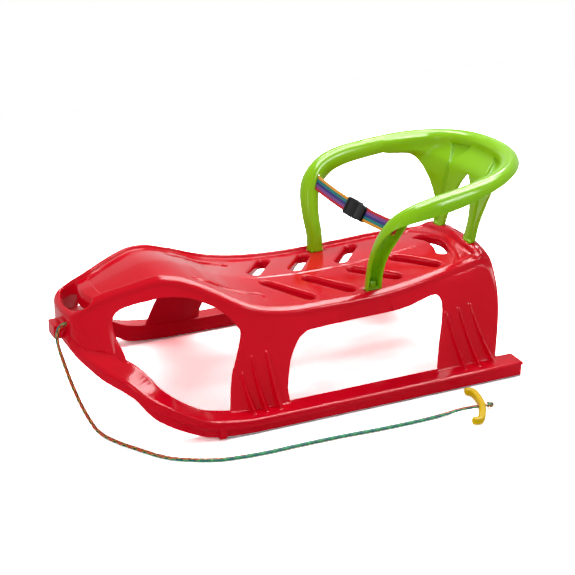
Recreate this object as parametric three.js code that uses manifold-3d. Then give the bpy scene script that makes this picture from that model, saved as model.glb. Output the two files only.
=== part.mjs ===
// Child's pull sled: a moulded sled body on two steel-shod runners, a lift-off chair with a lap
// belt and side-release buckle, and a pull rope with a handle. Millimetres, +X to the nose,
// +Y to the child's left, +Z up, the steel strips standing on z = 0.
import * as THREE from 'three';
import { mergeVertices } from 'three/addons/utils/BufferGeometryUtils.js';
import Module from 'manifold-3d';

const wasm = await Module();
wasm.setup();

// Driving dimensions of the sled body
const sledLength = 788;
const trackWidth = 474;
const humpHeight = 243;
const wall = 4;
const fit = 0.3;
const overrun = 20;

// Rim of the deck
const rimWidth = 13;
const rimRise = 6;
const rimRound = 4;
const rimSlope = 3;
const crownShare = 0.075;
const crownPower = 1.4;
const tailCrownShare = 1.4;

// Runners and their steel strips
const stripThickness = 3;
const stripInset = 1;
const lipInset = 5;
const soleWall = 12;
const minStep = 1;
const bossLength = 13;
const bossDrop = 2;
const bossPlaceShare = 0.734;

// Openings and slots of the body
const handSlotLength = 108;
const handSlotWidth = 26;
const handSlotBow = 7;
const handSlotCollar = 25;
const handSlotShare = 0.951;
const deckSlotWidth = 24;
const deckSlotCollar = 18;
const rearSlotLength = 104;
const rearSlotBow = 10;
const rearSlotShare = 0.058;
const skirtDepth = 70;
const tailPlane = 11;
const tailReach = 118;
const collarWall = 3;

// Nose tab and rope hole
const tabWidth = 34;
const tabReach = 16;
const tabHeight = 24;
const tabTopShare = 0.658;
const ropeHoleSide = 27;
const ropeHoleHeight = 165;
const ropeDiameter = 6.5;
const ropeHoleClearance = 1;

// Fins on the legs
const finThickness = 5;
const finReach = 13;
const finRoot = 2;
const finRidgeShare = 0.35;
const finFlare = 1.3;

// Chair
const chairWall = 3.5;
const chairRise = 107;
const chairLength = 315;
const chairWidth = 350;
const chairFront = 241;
const armWidth = 38;
const armDepth = 26;
const legGrowth = 1.6;
const plugShoulder = 4;
const plugDepth = 16;
const plugClearance = 0.5;
const footPad = 6;
const frontFootSpreadShare = 0.62;
const frontFootHeightShare = 0.675;
const frontFootLength = 30;
const frontFootWidth = 19;
const rearFootPlace = 9.5;
const rearFootSpreadShare = 0.3257;
const rearFootHeightShare = 0.8086;
const rearFootLength = 15;
const rearFootWidth = 42.6;

// Belt and buckle
const webWidth = 25;
const webPlay = 1.2;
const webThickness = 1.6;
const beltPlace = 224;
const beltHeightShare = 0.823;
const beltSag = 7;
const beltInset = 23;
const beltTilt = -28;
const beltEndThickness = 5;
const beltEndLength = 5;
const beltEndHeight = 17;
const slitWidth = 3.6;
const slitHeight = 29;
const slitDepth = 50;
const buckleHeight = 32;
const buckleDepth = 12;
const buckleCentre = 21;
const socketLength = 40;
const socketWall = 2.2;
const cavityDepth = 28;
const latchWindow = 12;
const plugBase = 25;
const prongWidth = 4.4;
const prongShare = 0.75;
const tongueWidth = 7;
const prongDepth = 5.6;
const barbReach = 2.4;
const webPocket = 12;

// Rope, handle and knots
const ropeSides = 10;
const knotDiameter = 13;
const handleSpan = 112;
const handleBow = 17;
const handleBar = 14;
const handleHook = 7;
const handleRound = 3;
const handleTurn = -18;
const handleTension = 0.4;

const halfTrack = trackWidth / 2;
const chairTop = humpHeight + chairRise;
const beltHeight = beltHeightShare * chairTop;
const beltSpan = chairWidth - 2 * beltInset;
const soleHeight = stripThickness + fit;

// Rim line from the tail centre round the left side to the nose centre: shares of the sled's
// length, of half its track and of the hump's height
const rimShares = [
  [-0.010, 0, 0.832], [-0.010, 0.19, 0.830], [-0.005, 0.329, 0.817], [0.008, 0.414, 0.792],
  [0.030, 0.447, 0.770], [0.079, 0.485, 0.757], [0.142, 0.532, 0.745], [0.218, 0.570, 0.720],
  [0.294, 0.591, 0.702], [0.371, 0.595, 0.695], [0.447, 0.603, 0.700], [0.510, 0.624, 0.712],
  [0.561, 0.637, 0.737], [0.605, 0.637, 0.774], [0.641, 0.617, 0.815], [0.673, 0.565, 0.860],
  [0.701, 0.500, 0.905], [0.732, 0.447, 0.955], [0.764, 0.405, 0.988], [0.796, 0.372, 0.998],
  [0.827, 0.345, 0.978], [0.859, 0.316, 0.947], [0.891, 0.280, 0.914], [0.919, 0.258, 0.881],
  [0.944, 0.252, 0.848], [0.964, 0.238, 0.815], [0.975, 0.190, 0.794], [0.979, 0.101, 0.790],
  [0.980, 0, 0.790],
];

// Foot of the side wall on the runners and the nose ledge, point for point with the rim line
const footShares = [
  [0.034, 0, 0.123], [0.037, 0.380, 0.123], [0.041, 0.675, 0.123], [0.044, 0.827, 0.123],
  [0.060, 0.869, 0.123], [0.091, 0.869, 0.123], [0.148, 0.869, 0.123], [0.218, 0.869, 0.123],
  [0.294, 0.869, 0.123], [0.371, 0.869, 0.123], [0.447, 0.869, 0.123], [0.510, 0.869, 0.123],
  [0.567, 0.869, 0.123], [0.618, 0.861, 0.128], [0.662, 0.861, 0.132], [0.701, 0.857, 0.148],
  [0.732, 0.852, 0.173], [0.766, 0.844, 0.206], [0.798, 0.831, 0.263], [0.827, 0.806, 0.329],
  [0.853, 0.751, 0.403], [0.873, 0.675, 0.465], [0.891, 0.570, 0.510], [0.906, 0.481, 0.543],
  [0.929, 0.414, 0.564], [0.952, 0.346, 0.564], [0.967, 0.278, 0.584], [0.975, 0.169, 0.634],
  [0.976, 0, 0.646],
];

// Outer top edge of runner and ledge from the left heel to the nose centre, then the depth of
// its lip and the rise of its underside, as shares of the hump's height
const outerEdgeShares = [
  [0, 1, 0.123, 0.021, 0], [0.256, 1, 0.123, 0.025, 0], [0.497, 0.998, 0.123, 0.045, 0],
  [0.624, 0.996, 0.123, 0.053, 0], [0.675, 0.996, 0.128, 0.058, 0.004],
  [0.751, 0.987, 0.165, 0.066, 0.023], [0.799, 0.979, 0.230, 0.070, 0.077],
  [0.845, 0.954, 0.317, 0.074, 0.151], [0.878, 0.865, 0.366, 0.078, 0.213],
  [0.911, 0.717, 0.440, 0.082, 0.340], [0.937, 0.574, 0.477, 0.082, 0.381],
  [0.948, 0.498, 0.498, 0.082, 0.402], [0.963, 0.388, 0.523, 0.066, 0.443],
  [0.972, 0.316, 0.543, 0.056, 0.476], [0.980, 0.232, 0.576, 0.053, 0.509],
  [0.983, 0.127, 0.593, 0.053, 0.526], [0.985, 0, 0.605, 0.053, 0.538],
];

// Inner top edge of runner and ledge, point for point with the outer edge
const innerEdgeShares = [
  [0, 0.827, 0.128], [0.256, 0.827, 0.128], [0.497, 0.827, 0.128], [0.624, 0.827, 0.128],
  [0.675, 0.827, 0.136], [0.742, 0.819, 0.173], [0.774, 0.814, 0.214], [0.815, 0.793, 0.300],
  [0.843, 0.751, 0.379], [0.868, 0.650, 0.481], [0.891, 0.515, 0.527], [0.906, 0.447, 0.547],
  [0.931, 0.346, 0.568], [0.947, 0.278, 0.572], [0.954, 0.194, 0.601], [0.959, 0.101, 0.638],
  [0.962, 0, 0.646],
];

// Outlines of the openings in the side walls, as shares of length and hump height
const frontOpeningShares = [
  [0.701, 0.152], [0.685, 0.354], [0.668, 0.469], [0.651, 0.609], [0.657, 0.671],
  [0.685, 0.770], [0.716, 0.823], [0.744, 0.856], [0.789, 0.872], [0.827, 0.856],
  [0.868, 0.823], [0.892, 0.776], [0.900, 0.708], [0.898, 0.634], [0.892, 0.560],
];
const windowShares = [
  [0.201, 0.140], [0.180, 0.300], [0.160, 0.432], [0.150, 0.535], [0.157, 0.588],
  [0.173, 0.601], [0.212, 0.580], [0.269, 0.556], [0.459, 0.547], [0.485, 0.547],
  [0.500, 0.539], [0.522, 0.498], [0.546, 0.412], [0.553, 0.309], [0.565, 0.218],
];
const tailOpeningShares = [
  [0.768, 0.123], [0.700, 0.260], [0.615, 0.400], [0.520, 0.540], [0.440, 0.600],
  [0, 0.620],
];
const openingFloorShare = 0.041;
const wallRingShares = [0.15, 0.35, 0.6, 0.8];

// Deck slots: inner and outer end of each slot's middle line, shares of length and half track
const deckSlotShares = [
  [0.518, 0.110, 0.452, 0.405], [0.414, 0.110, 0.349, 0.390],
  [0.297, 0.101, 0.228, 0.363], [0.185, 0.084, 0.122, 0.338],
];

// Fins: top place, top height, foot place, as shares; three on each leg
const finShares = [
  [0.663, 0.375, 0.652], [0.637, 0.470, 0.625], [0.602, 0.480, 0.594],
  [0.148, 0.480, 0.138], [0.113, 0.490, 0.100], [0.080, 0.500, 0.062],
];

// Armrest loop from the left front foot to the middle of the back: shares of the chair's
// length behind its front foot, half its width and its height, then of the arm's section
const armShares = [
  [0, 0.615, 0.440, 0.76, 0.65], [0, 0.645, 0.560, 0.76, 0.65],
  [-0.002, 0.715, 0.660, 0.84, 0.77], [0.014, 0.803, 0.760, 0.95, 0.92],
  [0.056, 0.886, 0.847, 1, 1], [0.135, 0.955, 0.900, 1.03, 1.04],
  [0.250, 0.988, 0.931, 1.05, 1.10], [0.400, 0.978, 0.954, 1.05, 1.06],
  [0.548, 0.937, 0.976, 1.05, 0.96], [0.680, 0.862, 0.996, 1.03, 0.83],
  [0.800, 0.728, 1.014, 0.97, 0.73], [0.900, 0.520, 1.028, 0.95, 0.70],
  [0.955, 0.285, 1.034, 0.95, 0.72], [0.972, 0, 1.036, 0.95, 0.72],
];
const armOpenShares = [
  [0, 1, 0], [0, 1, 0], [0, 1, -0.15], [0, 0.85, -0.45], [0, 0.5, -0.85], [0, 0.2, -1],
  [0, 0.08, -1], [0, 0.1, -1], [0, 0.2, -1], [-0.05, 0.25, -1], [-0.1, 0.25, -1],
  [-0.2, 0.15, -1], [-0.25, 0.05, -1], [-0.25, 0, -1],
];

// Backrest: plan curves from its left edge to the middle, one above the other
const backShares = [
  [[0.715, 0.440, 0.530], [0.715, 0.290, 0.530], [0.715, 0.145, 0.530], [0.715, 0, 0.530]],
  [[0.731, 0.470, 0.686], [0.752, 0.314, 0.686], [0.762, 0.160, 0.686], [0.765, 0, 0.686]],
  [[0.731, 0.594, 0.829], [0.772, 0.400, 0.829], [0.797, 0.200, 0.829], [0.803, 0, 0.829]],
  [[0.690, 0.760, 0.909], [0.766, 0.543, 0.909], [0.816, 0.274, 0.909], [0.829, 0, 0.909]],
  [[0.668, 0.834, 0.943], [0.800, 0.654, 0.965], [0.872, 0.345, 0.980], [0.896, 0, 0.985]],
  [[0.655, 0.862, 0.985], [0.815, 0.712, 1.010], [0.912, 0.360, 1.040], [0.933, 0, 1.046]],
];
const archShares = [
  [0, 0.886], [0.069, 0.851], [0.126, 0.800], [0.177, 0.729], [0.205, 0.670], [0.211, 0.609],
  [0.211, 0.450],
];

// Handle from its middle to where its end hooks round: shares of its bow and of half its span
const handleShares = [[0, 0], [0.2, 0.45], [0.62, 0.8], [1, 0.97]];

// Rope route: out of the hole in the nose, down to the ground and back along the sled
const ropeRoute = [
  [757, 27, 165], [768, 27, 165], [779, 27.5, 162], [786, 30, 152], [788, 36, 136],
  [785, 48, 112], [778, 70, 74], [769, 93, 40], [759, 116, 15], [751, 132, 6],
  [743, 149, 3.9], [731, 173, 3.5], [711, 206, 3.4], [690, 238, 3.4], [664, 262, 3.4],
  [610, 289, 3.4], [543, 299, 3.4], [473, 300, 3.4], [402, 302, 3.4], [331, 307, 3.4],
  [255, 309, 3.4], [205, 308, 4.2], [182, 308.4, 6.4], [160, 310, 7.2], [144, 312.1, 7.2],
  [128, 314.2, 7.2],
];

const place = ([along, side, up]) =>
  new THREE.Vector3(along * sledLength, side * halfTrack, up * humpHeight);
const mirror = (point) => new THREE.Vector3(point.x, -point.y, point.z);

// Solids

function toSolid(geometry) {
  const bare = geometry.clone();
  for (const name of Object.keys(bare.attributes)) {
    if (name !== 'position') bare.deleteAttribute(name);
  }
  const merged = mergeVertices(bare, 1e-4);
  const index = Array.from(merged.index.array);
  const kept = [];
  for (let i = 0; i < index.length; i += 3) {
    const [a, b, c] = index.slice(i, i + 3);
    if (a !== b && b !== c && a !== c) kept.push(a, b, c);
  }
  const points = merged.attributes.position;
  if (signedVolume(points, kept) < 0) kept.reverse();
  return new wasm.Manifold(new wasm.Mesh({
    numProp: 3,
    vertProperties: new Float32Array(points.array),
    triVerts: new Uint32Array(kept),
  }));
}

function signedVolume(points, index) {
  const corner = (i) => new THREE.Vector3().fromBufferAttribute(points, i);
  let volume = 0;
  for (let i = 0; i < index.length; i += 3) {
    const [a, b, c] = [corner(index[i]), corner(index[i + 1]), corner(index[i + 2])];
    volume += a.dot(b.cross(c));
  }
  return volume;
}

function toGeometry(body) {
  const mesh = body.getMesh();
  const geometry = new THREE.BufferGeometry();
  geometry.setAttribute('position', new THREE.BufferAttribute(mesh.vertProperties, 3));
  geometry.setIndex(new THREE.BufferAttribute(mesh.triVerts, 1));
  const flat = geometry.toNonIndexed();
  flat.computeVertexNormals();
  return flat;
}

function fromTriangles(corners) {
  const geometry = new THREE.BufferGeometry();
  const values = corners.flatMap((p) => [p.x, p.y, p.z]);
  geometry.setAttribute('position', new THREE.Float32BufferAttribute(values, 3));
  return toSolid(geometry);
}

function quad(a, b, c, d) {
  return [a, b, c, a, c, d];
}

// Skin between rings of equal point counts, each ring closed on itself
function ringSkin(rings) {
  const corners = [];
  for (let r = 0; r + 1 < rings.length; r++) {
    const [upper, lower] = [rings[r], rings[r + 1]];
    upper.forEach((p, i) => {
      const next = (i + 1) % upper.length;
      corners.push(...quad(p, lower[i], lower[next], upper[next]));
    });
  }
  return corners;
}

// Loft through section rings with flat ends
function loft(rings, outline) {
  const ends = THREE.ShapeUtils.triangulateShape(outline, []);
  if (THREE.ShapeUtils.isClockWise(outline)) ends.forEach((face) => face.reverse());
  const corners = ringSkin(rings);
  const last = rings[rings.length - 1];
  for (const [a, b, c] of ends) {
    corners.push(rings[0][a], rings[0][b], rings[0][c], last[c], last[b], last[a]);
  }
  return fromTriangles(corners);
}

function prism(shape, depth) {
  return new THREE.ExtrudeGeometry(shape, { depth, bevelEnabled: false, curveSegments: 6 });
}

function box(x, y, z) {
  return new THREE.BoxGeometry(x, y, z);
}

// Deck and side walls of the body

function loopPoints(shares) {
  const left = shares.map(place);
  const right = left.slice(1, -1).reverse().map(mirror);
  const control = [...left, ...right];
  const curve = new THREE.CatmullRomCurve3(control, true, 'catmullrom', 0.5);
  const count = control.length * 2;
  return Array.from({ length: count }, (_, i) => curve.getPoint(i / count));
}

function inset(loop, distance, drop) {
  return loop.map((p, i) => {
    const before = loop[(i + loop.length - 1) % loop.length];
    const after = loop[(i + 1) % loop.length];
    const along = new THREE.Vector2(after.x - before.x, after.y - before.y).normalize();
    return new THREE.Vector3(p.x + along.y * distance, p.y - along.x * distance, p.z - drop);
  });
}

// A ring of the side wall between rim and foot, its tail corners squared out below the rim
function wallRing(from, to, share) {
  return from.map((p, i) => {
    const point = p.clone().lerp(to[i], share);
    const nearTail = THREE.MathUtils.clamp(1 - p.x / tailReach, 0, 1);
    point.x -= (point.x + tailPlane) * nearTail * Math.sin(Math.PI * Math.sqrt(share));
    return point;
  });
}

const rimLoop = loopPoints(rimShares);
const footLoop = loopPoints(footShares);

function ladder(ring, crown) {
  const half = ring.length / 2;
  const columns = 8;
  const rung = (i) => {
    const a = ring[i];
    const b = ring[(ring.length - i) % ring.length];
    return Array.from({ length: columns + 1 }, (_, k) => {
      const side = Math.abs((2 * k) / columns - 1);
      const point = a.clone().lerp(b, k / columns);
      const nearTail = THREE.MathUtils.clamp(1 - point.x / tailReach, 0, 1);
      const rise = crown * (1 + tailCrownShare * nearTail);
      point.z += (rise * a.distanceTo(b) * (1 - side ** crownPower)) / 2;
      return point;
    });
  };
  const corners = [];
  for (let i = 0; i < half; i++) {
    const [from, to] = [rung(i), rung(i + 1)];
    for (let k = 0; k < columns; k++) {
      corners.push(...quad(from[k], to[k], to[k + 1], from[k + 1]));
    }
  }
  return corners;
}

// The block under the deck skin, drawn in by a wall and lowered by a depth
function deckBlock(thin, lower, floorDrop) {
  const shoulder = inset(rimLoop, thin, rimRound + lower);
  const foot = inset(footLoop, thin, 0);
  const rings = thin > 0 ? [inset(rimLoop, thin + minStep, rimRise + lower)] : [
    inset(rimLoop, rimWidth + rimSlope, rimRise + lower),
    inset(rimLoop, rimWidth, lower),
    inset(rimLoop, rimRound, lower),
  ];
  if (thin === 0) rings.push(shoulder);
  for (const share of wallRingShares) rings.push(wallRing(shoulder, foot, share));
  rings.push(foot, foot.map((p) => new THREE.Vector3(p.x, p.y, p.z - floorDrop)));
  const bottom = ladder(rings[rings.length - 1], 0).reverse();
  return fromTriangles([...ladder(rings[0], crownShare), ...ringSkin(rings), ...bottom]);
}

// Plan outline of a slot with round ends, bowed towards the tail
function slotShape(length, width, bow) {
  const reach = (length - width) / 2;
  const middle = (t) => new THREE.Vector2(-bow * t * t, reach * t);
  const sideSteps = bow === 0 ? 1 : 5;
  const endSteps = 5;
  const points = [];
  for (const end of [1, -1]) {
    for (let i = 0; i <= sideSteps; i++) {
      const t = end * ((2 * i) / sideSteps - 1);
      points.push(middle(t).add(new THREE.Vector2((end * width) / 2, 0)));
    }
    for (let i = 1; i < endSteps; i++) {
      const angle = (Math.PI * i) / endSteps;
      const round = new THREE.Vector2(Math.cos(angle), Math.sin(angle));
      points.push(middle(end).add(round.multiplyScalar((end * width) / 2)));
    }
  }
  return new THREE.Shape(points);
}

function upright(shape, x, y, turn) {
  const geometry = prism(shape, humpHeight + overrun);
  return toSolid(geometry.rotateZ(turn).translate(x, y, 0));
}

function deckSlots() {
  const slots = [];
  for (const [inX, inY, outX, outY] of deckSlotShares) {
    for (const side of [1, -1]) {
      const [x1, y1] = [inX * sledLength, side * inY * halfTrack];
      const [x2, y2] = [outX * sledLength, side * outY * halfTrack];
      const run = Math.hypot(x2 - x1, y2 - y1);
      const turn = Math.atan2(y2 - y1, x2 - x1) - Math.PI / 2;
      slots.push({ x: (x1 + x2) / 2, y: (y1 + y2) / 2, turn, length: run + deckSlotWidth,
        width: deckSlotWidth, bow: 0, collar: deckSlotCollar });
    }
  }
  slots.push({ x: rearSlotShare * sledLength, y: 0, turn: Math.PI, length: rearSlotLength,
    width: deckSlotWidth, bow: rearSlotBow, collar: deckSlotCollar });
  slots.push({ x: handSlotShare * sledLength, y: 0, turn: 0, length: handSlotLength,
    width: handSlotWidth, bow: handSlotBow, collar: handSlotCollar });
  return slots;
}

const frontFoot = {
  place: chairFront, height: frontFootHeightShare * humpHeight,
  length: frontFootLength, width: frontFootWidth, spread: frontFootSpreadShare * chairWidth,
};
const rearFoot = {
  place: rearFootPlace, height: rearFootHeightShare * humpHeight,
  length: rearFootLength, width: rearFootWidth, spread: rearFootSpreadShare * chairWidth,
};
const feet = [frontFoot, rearFoot].flatMap((foot) =>
  [1, -1].map((side) => ({ ...foot, y: (side * foot.spread) / 2 })));

function blockAt(length, width, from, to, x, y) {
  return toSolid(box(length, width, to - from).translate(x, y, (from + to) / 2));
}

// Upright block on a foot's place, larger or smaller than the foot all round
function footBlock(foot, growth, from, to) {
  return blockAt(foot.length + 2 * growth, foot.width + 2 * growth, foot.height + from,
    foot.height + to, foot.place, foot.y);
}

// Side prism from an outline in length and height, closed below
function sideCut(shares, floor) {
  const points = shares.map(([along, up]) =>
    new THREE.Vector3(along * sledLength, up * humpHeight, 0));
  const curve = new THREE.CatmullRomCurve3(points, false, 'catmullrom', 0.5);
  const line = curve.getPoints((points.length - 1) * 2);
  const shape = new THREE.Shape([
    new THREE.Vector2(line[0].x, floor),
    ...line.map((p) => new THREE.Vector2(p.x, p.y)),
    new THREE.Vector2(line[line.length - 1].x, floor),
  ]);
  const width = trackWidth + overrun;
  return toSolid(prism(shape, width).rotateX(Math.PI / 2).translate(0, width / 2, 0));
}

function tailCut() {
  const floor = openingFloorShare * humpHeight;
  const side = tailOpeningShares.map(([across, up]) =>
    new THREE.Vector2(across * halfTrack, up * humpHeight));
  const shape = new THREE.Shape([
    new THREE.Vector2(side[0].x, floor), ...side,
    ...side.slice(0, -1).reverse().map((p) => new THREE.Vector2(-p.x, p.y)),
    new THREE.Vector2(-side[0].x, floor),
  ]);
  const depth = skirtDepth + overrun;
  const cut = prism(shape, depth).rotateX(Math.PI / 2).rotateZ(Math.PI / 2);
  return toSolid(cut.translate(-overrun, 0, 0));
}

function shellBody() {
  const outer = deckBlock(0, 0, wall / 2);
  const inner = deckBlock(wall, wall, overrun);
  let shell = outer.subtract(inner);
  shell = shell.subtract(sideCut(frontOpeningShares, openingFloorShare * humpHeight));
  shell = shell.subtract(sideCut(windowShares, openingFloorShare * humpHeight));
  shell = shell.subtract(tailCut());
  const skin = deckBlock(wall / 2, wall / 2, overrun);
  for (const slot of deckSlots()) {
    const around = slotShape(slot.length + 2 * collarWall, slot.width + 2 * collarWall, slot.bow);
    const collar = upright(around, slot.x, slot.y, slot.turn).intersect(skin)
      .subtract(deckBlock(wall / 2, slot.collar, overrun));
    shell = shell.add(collar);
  }
  for (const foot of feet) {
    const cup = footBlock(foot, collarWall, -plugDepth - collarWall, wall);
    shell = shell.add(cup.intersect(skin));
  }
  return shell;
}

function cutDeck(body) {
  let cut = body;
  for (const slot of deckSlots()) {
    cut = cut.subtract(upright(slotShape(slot.length, slot.width, slot.bow),
      slot.x, slot.y, slot.turn));
  }
  for (const foot of feet) {
    cut = cut.subtract(footBlock(foot, plugClearance, 0, overrun));
    cut = cut.subtract(footBlock(foot, plugClearance - plugShoulder, -plugDepth - fit, overrun));
  }
  return cut;
}

// Runners and nose ledge: stations along the outer and inner top edges

function edgeCurve(points) {
  const right = points.slice(0, -1).reverse().map(mirror);
  return new THREE.CatmullRomCurve3([...points, ...right], false, 'catmullrom', 0.5);
}

function runnerStations() {
  const outer = edgeCurve(outerEdgeShares.map(place));
  const inner = edgeCurve(innerEdgeShares.map(place));
  const depths = outerEdgeShares.map(([, , , lip, rise]) =>
    new THREE.Vector3(lip * humpHeight, 0, rise * humpHeight));
  const depth = edgeCurve(depths);
  const spans = (outerEdgeShares.length - 1) * 2;
  const steps = spans * 2;
  return Array.from({ length: steps + 1 }, (_, i) => {
    const t = i / steps;
    const [top, near, low] = [outer.getPoint(t), inner.getPoint(t), depth.getPoint(t)];
    const lip = Math.max(low.x, minStep);
    const under = soleHeight + Math.max(low.z, 0);
    return { top, near, lip, under: Math.min(under, top.z - lip - minStep) };
  });
}

const stations = runnerStations();

// A point of a station's section: how far in from the outer edge, and its height, or its depth
// under the sloping top
function sectionPoint(station, inward, height, depth) {
  const width = Math.hypot(station.near.x - station.top.x, station.near.y - station.top.y);
  const point = station.top.clone().lerp(station.near, inward / width);
  point.z = height === null ? point.z - depth : height;
  return point;
}

function sectionWidth(station) {
  return Math.hypot(station.near.x - station.top.x, station.near.y - station.top.y);
}

function runnerRing(station) {
  const width = sectionWidth(station);
  const lipFoot = station.top.z - station.lip;
  const sole = Math.min(lipInset + soleWall, width / 2);
  const innerWall = Math.max(width - wall, sole + minStep);
  return [
    sectionPoint(station, 0, null, 0),
    sectionPoint(station, 0, lipFoot, 0),
    sectionPoint(station, lipInset, lipFoot, 0),
    sectionPoint(station, lipInset, station.under, 0),
    sectionPoint(station, sole, station.under, 0),
    sectionPoint(station, sole, null, wall),
    sectionPoint(station, innerWall, null, wall),
    sectionPoint(station, innerWall, station.under, 0),
    sectionPoint(station, Math.max(width, innerWall + wall), station.under, 0),
    sectionPoint(station, Math.max(width, innerWall + wall), null, 0),
  ];
}

function flatOutline(ring) {
  return ring.map((p) => new THREE.Vector2(p.y, p.z));
}

function runnerBody() {
  const rings = stations.map(runnerRing);
  return loft(rings, flatOutline(rings[0]));
}

function heelAndBoss(side) {
  const heel = stations[0];
  const width = sectionWidth(heel) - lipInset;
  const middle = side * (heel.top.y - lipInset - width / 2);
  const top = heel.top.z - minStep;
  const plate = blockAt(wall, width, soleHeight, top, wall / 2, middle);
  const at = bossPlaceShare * sledLength;
  const station = stations.reduce((best, s) =>
    (s.top.y > 0 && Math.abs(s.top.x - at) < Math.abs(best.top.x - at) ? s : best));
  const boss = blockAt(bossLength, soleWall - 2 * stripInset, station.under - bossDrop,
    station.top.z - wall / 2, at, side * (station.top.y - lipInset - soleWall / 2));
  return plate.add(boss);
}

function stripSolid(side) {
  const end = bossPlaceShare * sledLength - bossLength / 2 - fit;
  const used = stations.filter((s) => s.top.y > 0 && s.top.x < end);
  const from = used[used.length - 1];
  const next = stations[used.length];
  const share = (end - from.top.x) / (next.top.x - from.top.x);
  const last = {
    top: from.top.clone().lerp(next.top, share), near: from.near.clone().lerp(next.near, share),
    under: from.under + share * (next.under - from.under),
  };
  const rings = [...used, last].map((s) => {
    const [near, far] = [lipInset + stripInset, lipInset + soleWall - stripInset];
    const upper = s.under - fit;
    const lower = upper - stripThickness;
    const ring = [[near, upper], [far, upper], [far, lower], [near, lower]]
      .map(([inward, height]) => sectionPoint(s, inward, height, 0));
    return side > 0 ? ring : ring.map(mirror);
  });
  return loft(rings, flatOutline(rings[0]));
}

// Where the side wall's outer face lies at a place and height
function wallSide(x, z) {
  const half = rimLoop.length / 2;
  let best = null;
  for (let i = 1; i < half; i++) {
    const [rim, foot] = [rimLoop[i], footLoop[i]];
    const share = THREE.MathUtils.clamp((rim.z - z) / (rim.z - foot.z), 0, 1);
    const point = rim.clone().lerp(foot, share);
    if (best === null || Math.abs(point.x - x) < Math.abs(best.x - x)) best = point;
  }
  return best.y;
}

// A fin sweeps down and back from the leg's face and flares out on to the runner
function finSolid([topX, topZ, footX], side) {
  const footZ = outerEdgeShares[0][2];
  const steps = [0, 0.2, 0.4, 0.6, 0.8, 1];
  const rings = steps.map((t) => {
    const x = (topX + (footX - topX) * t ** 2) * sledLength;
    const z = (topZ + (footZ - topZ) * t) * humpHeight - wall * t / 2;
    const face = wallSide(x, z);
    const reach = minStep + (finReach - minStep) * t ** finFlare;
    const half = finThickness * finRidgeShare * (1 + t);
    return [[x - half, face - finRoot], [x - half / 2, face + reach],
      [x + half / 2, face + reach], [x + half, face - finRoot]]
      .map(([px, py]) => new THREE.Vector3(px, side * py, z));
  });
  const outline = rings[0].map((p) => new THREE.Vector2(p.x, p.y));
  return loft(rings, outline);
}

function noseTab() {
  const front = place(outerEdgeShares[outerEdgeShares.length - 1]).x;
  const top = tabTopShare * humpHeight;
  const length = tabReach + wall;
  return blockAt(length, tabWidth, top - tabHeight, top, sledLength - length / 2, 0)
    .add(blockAt(sledLength - front + wall, tabWidth - wall, top - tabHeight + wall,
      top - wall, (sledLength + front - wall) / 2, 0));
}

function ropeHole() {
  const radius = (ropeDiameter + ropeHoleClearance) / 2;
  const cut = new THREE.CylinderGeometry(radius, radius, 2 * overrun, 16);
  return toSolid(cut.rotateZ(Math.PI / 2).translate(place(rimShares.at(-1)).x,
    ropeHoleSide, ropeHoleHeight));
}

function sledBody() {
  let body = shellBody().add(runnerBody()).add(noseTab());
  for (const side of [1, -1]) {
    body = body.add(heelAndBoss(side));
    for (const fin of finShares) body = body.add(finSolid(fin, side));
  }
  return cutDeck(body).subtract(ropeHole());
}

// Chair

const chairPlace = ([back, side, up]) => new THREE.Vector3(
  chairFront - back * chairLength, side * chairWidth / 2, up * chairTop);

function armStations() {
  const points = edgeCurve(armShares.map(chairPlace));
  const sizes = edgeCurve(armShares.map(([, , , width, depth]) =>
    new THREE.Vector3(width * armWidth, 0, depth * armDepth)));
  const opens = edgeCurve(armOpenShares.map(([x, y, z]) => new THREE.Vector3(x, y, z)));
  const steps = (armShares.length - 1) * 3;
  return Array.from({ length: steps + 1 }, (_, i) => {
    const t = i / steps;
    return { at: points.getPoint(t), along: points.getTangent(t), size: sizes.getPoint(t),
      open: opens.getPoint(t) };
  });
}

// Channel section, round outside and hollow towards its open side
function channelOutline(width, depth, skin) {
  const steps = 8;
  const arc = (w, d, base) => Array.from({ length: steps + 1 }, (_, i) => {
    const angle = (Math.PI * i) / steps;
    return new THREE.Vector2(w / 2 * Math.cos(angle), base + d * Math.sin(angle));
  });
  const outer = arc(width, depth, -depth / 2);
  const inner = arc(width - 2 * skin, depth - skin, -depth / 2).reverse();
  return [...outer, ...inner];
}

function armSolid() {
  let outline = null;
  const rings = armStations().map(({ at, along, size, open }) => {
    const up = open.clone().negate();
    up.addScaledVector(along, -up.dot(along)).normalize();
    const across = new THREE.Vector3().crossVectors(up, along);
    outline = channelOutline(size.x, size.z, chairWall);
    return outline.map((p) => at.clone().addScaledVector(across, p.x).addScaledVector(up, p.y));
  });
  return loft(rings, outline);
}

function backSurface() {
  const curves = backShares.map((row) => edgeCurve(row.map(chairPlace)));
  const [across, rise] = [24, 12];
  return Array.from({ length: rise + 1 }, (_, j) =>
    Array.from({ length: across + 1 }, (_, i) => {
      const column = new THREE.CatmullRomCurve3(curves.map((c) => c.getPoint(i / across)));
      return column.getPoint(j / rise);
    }));
}

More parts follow.
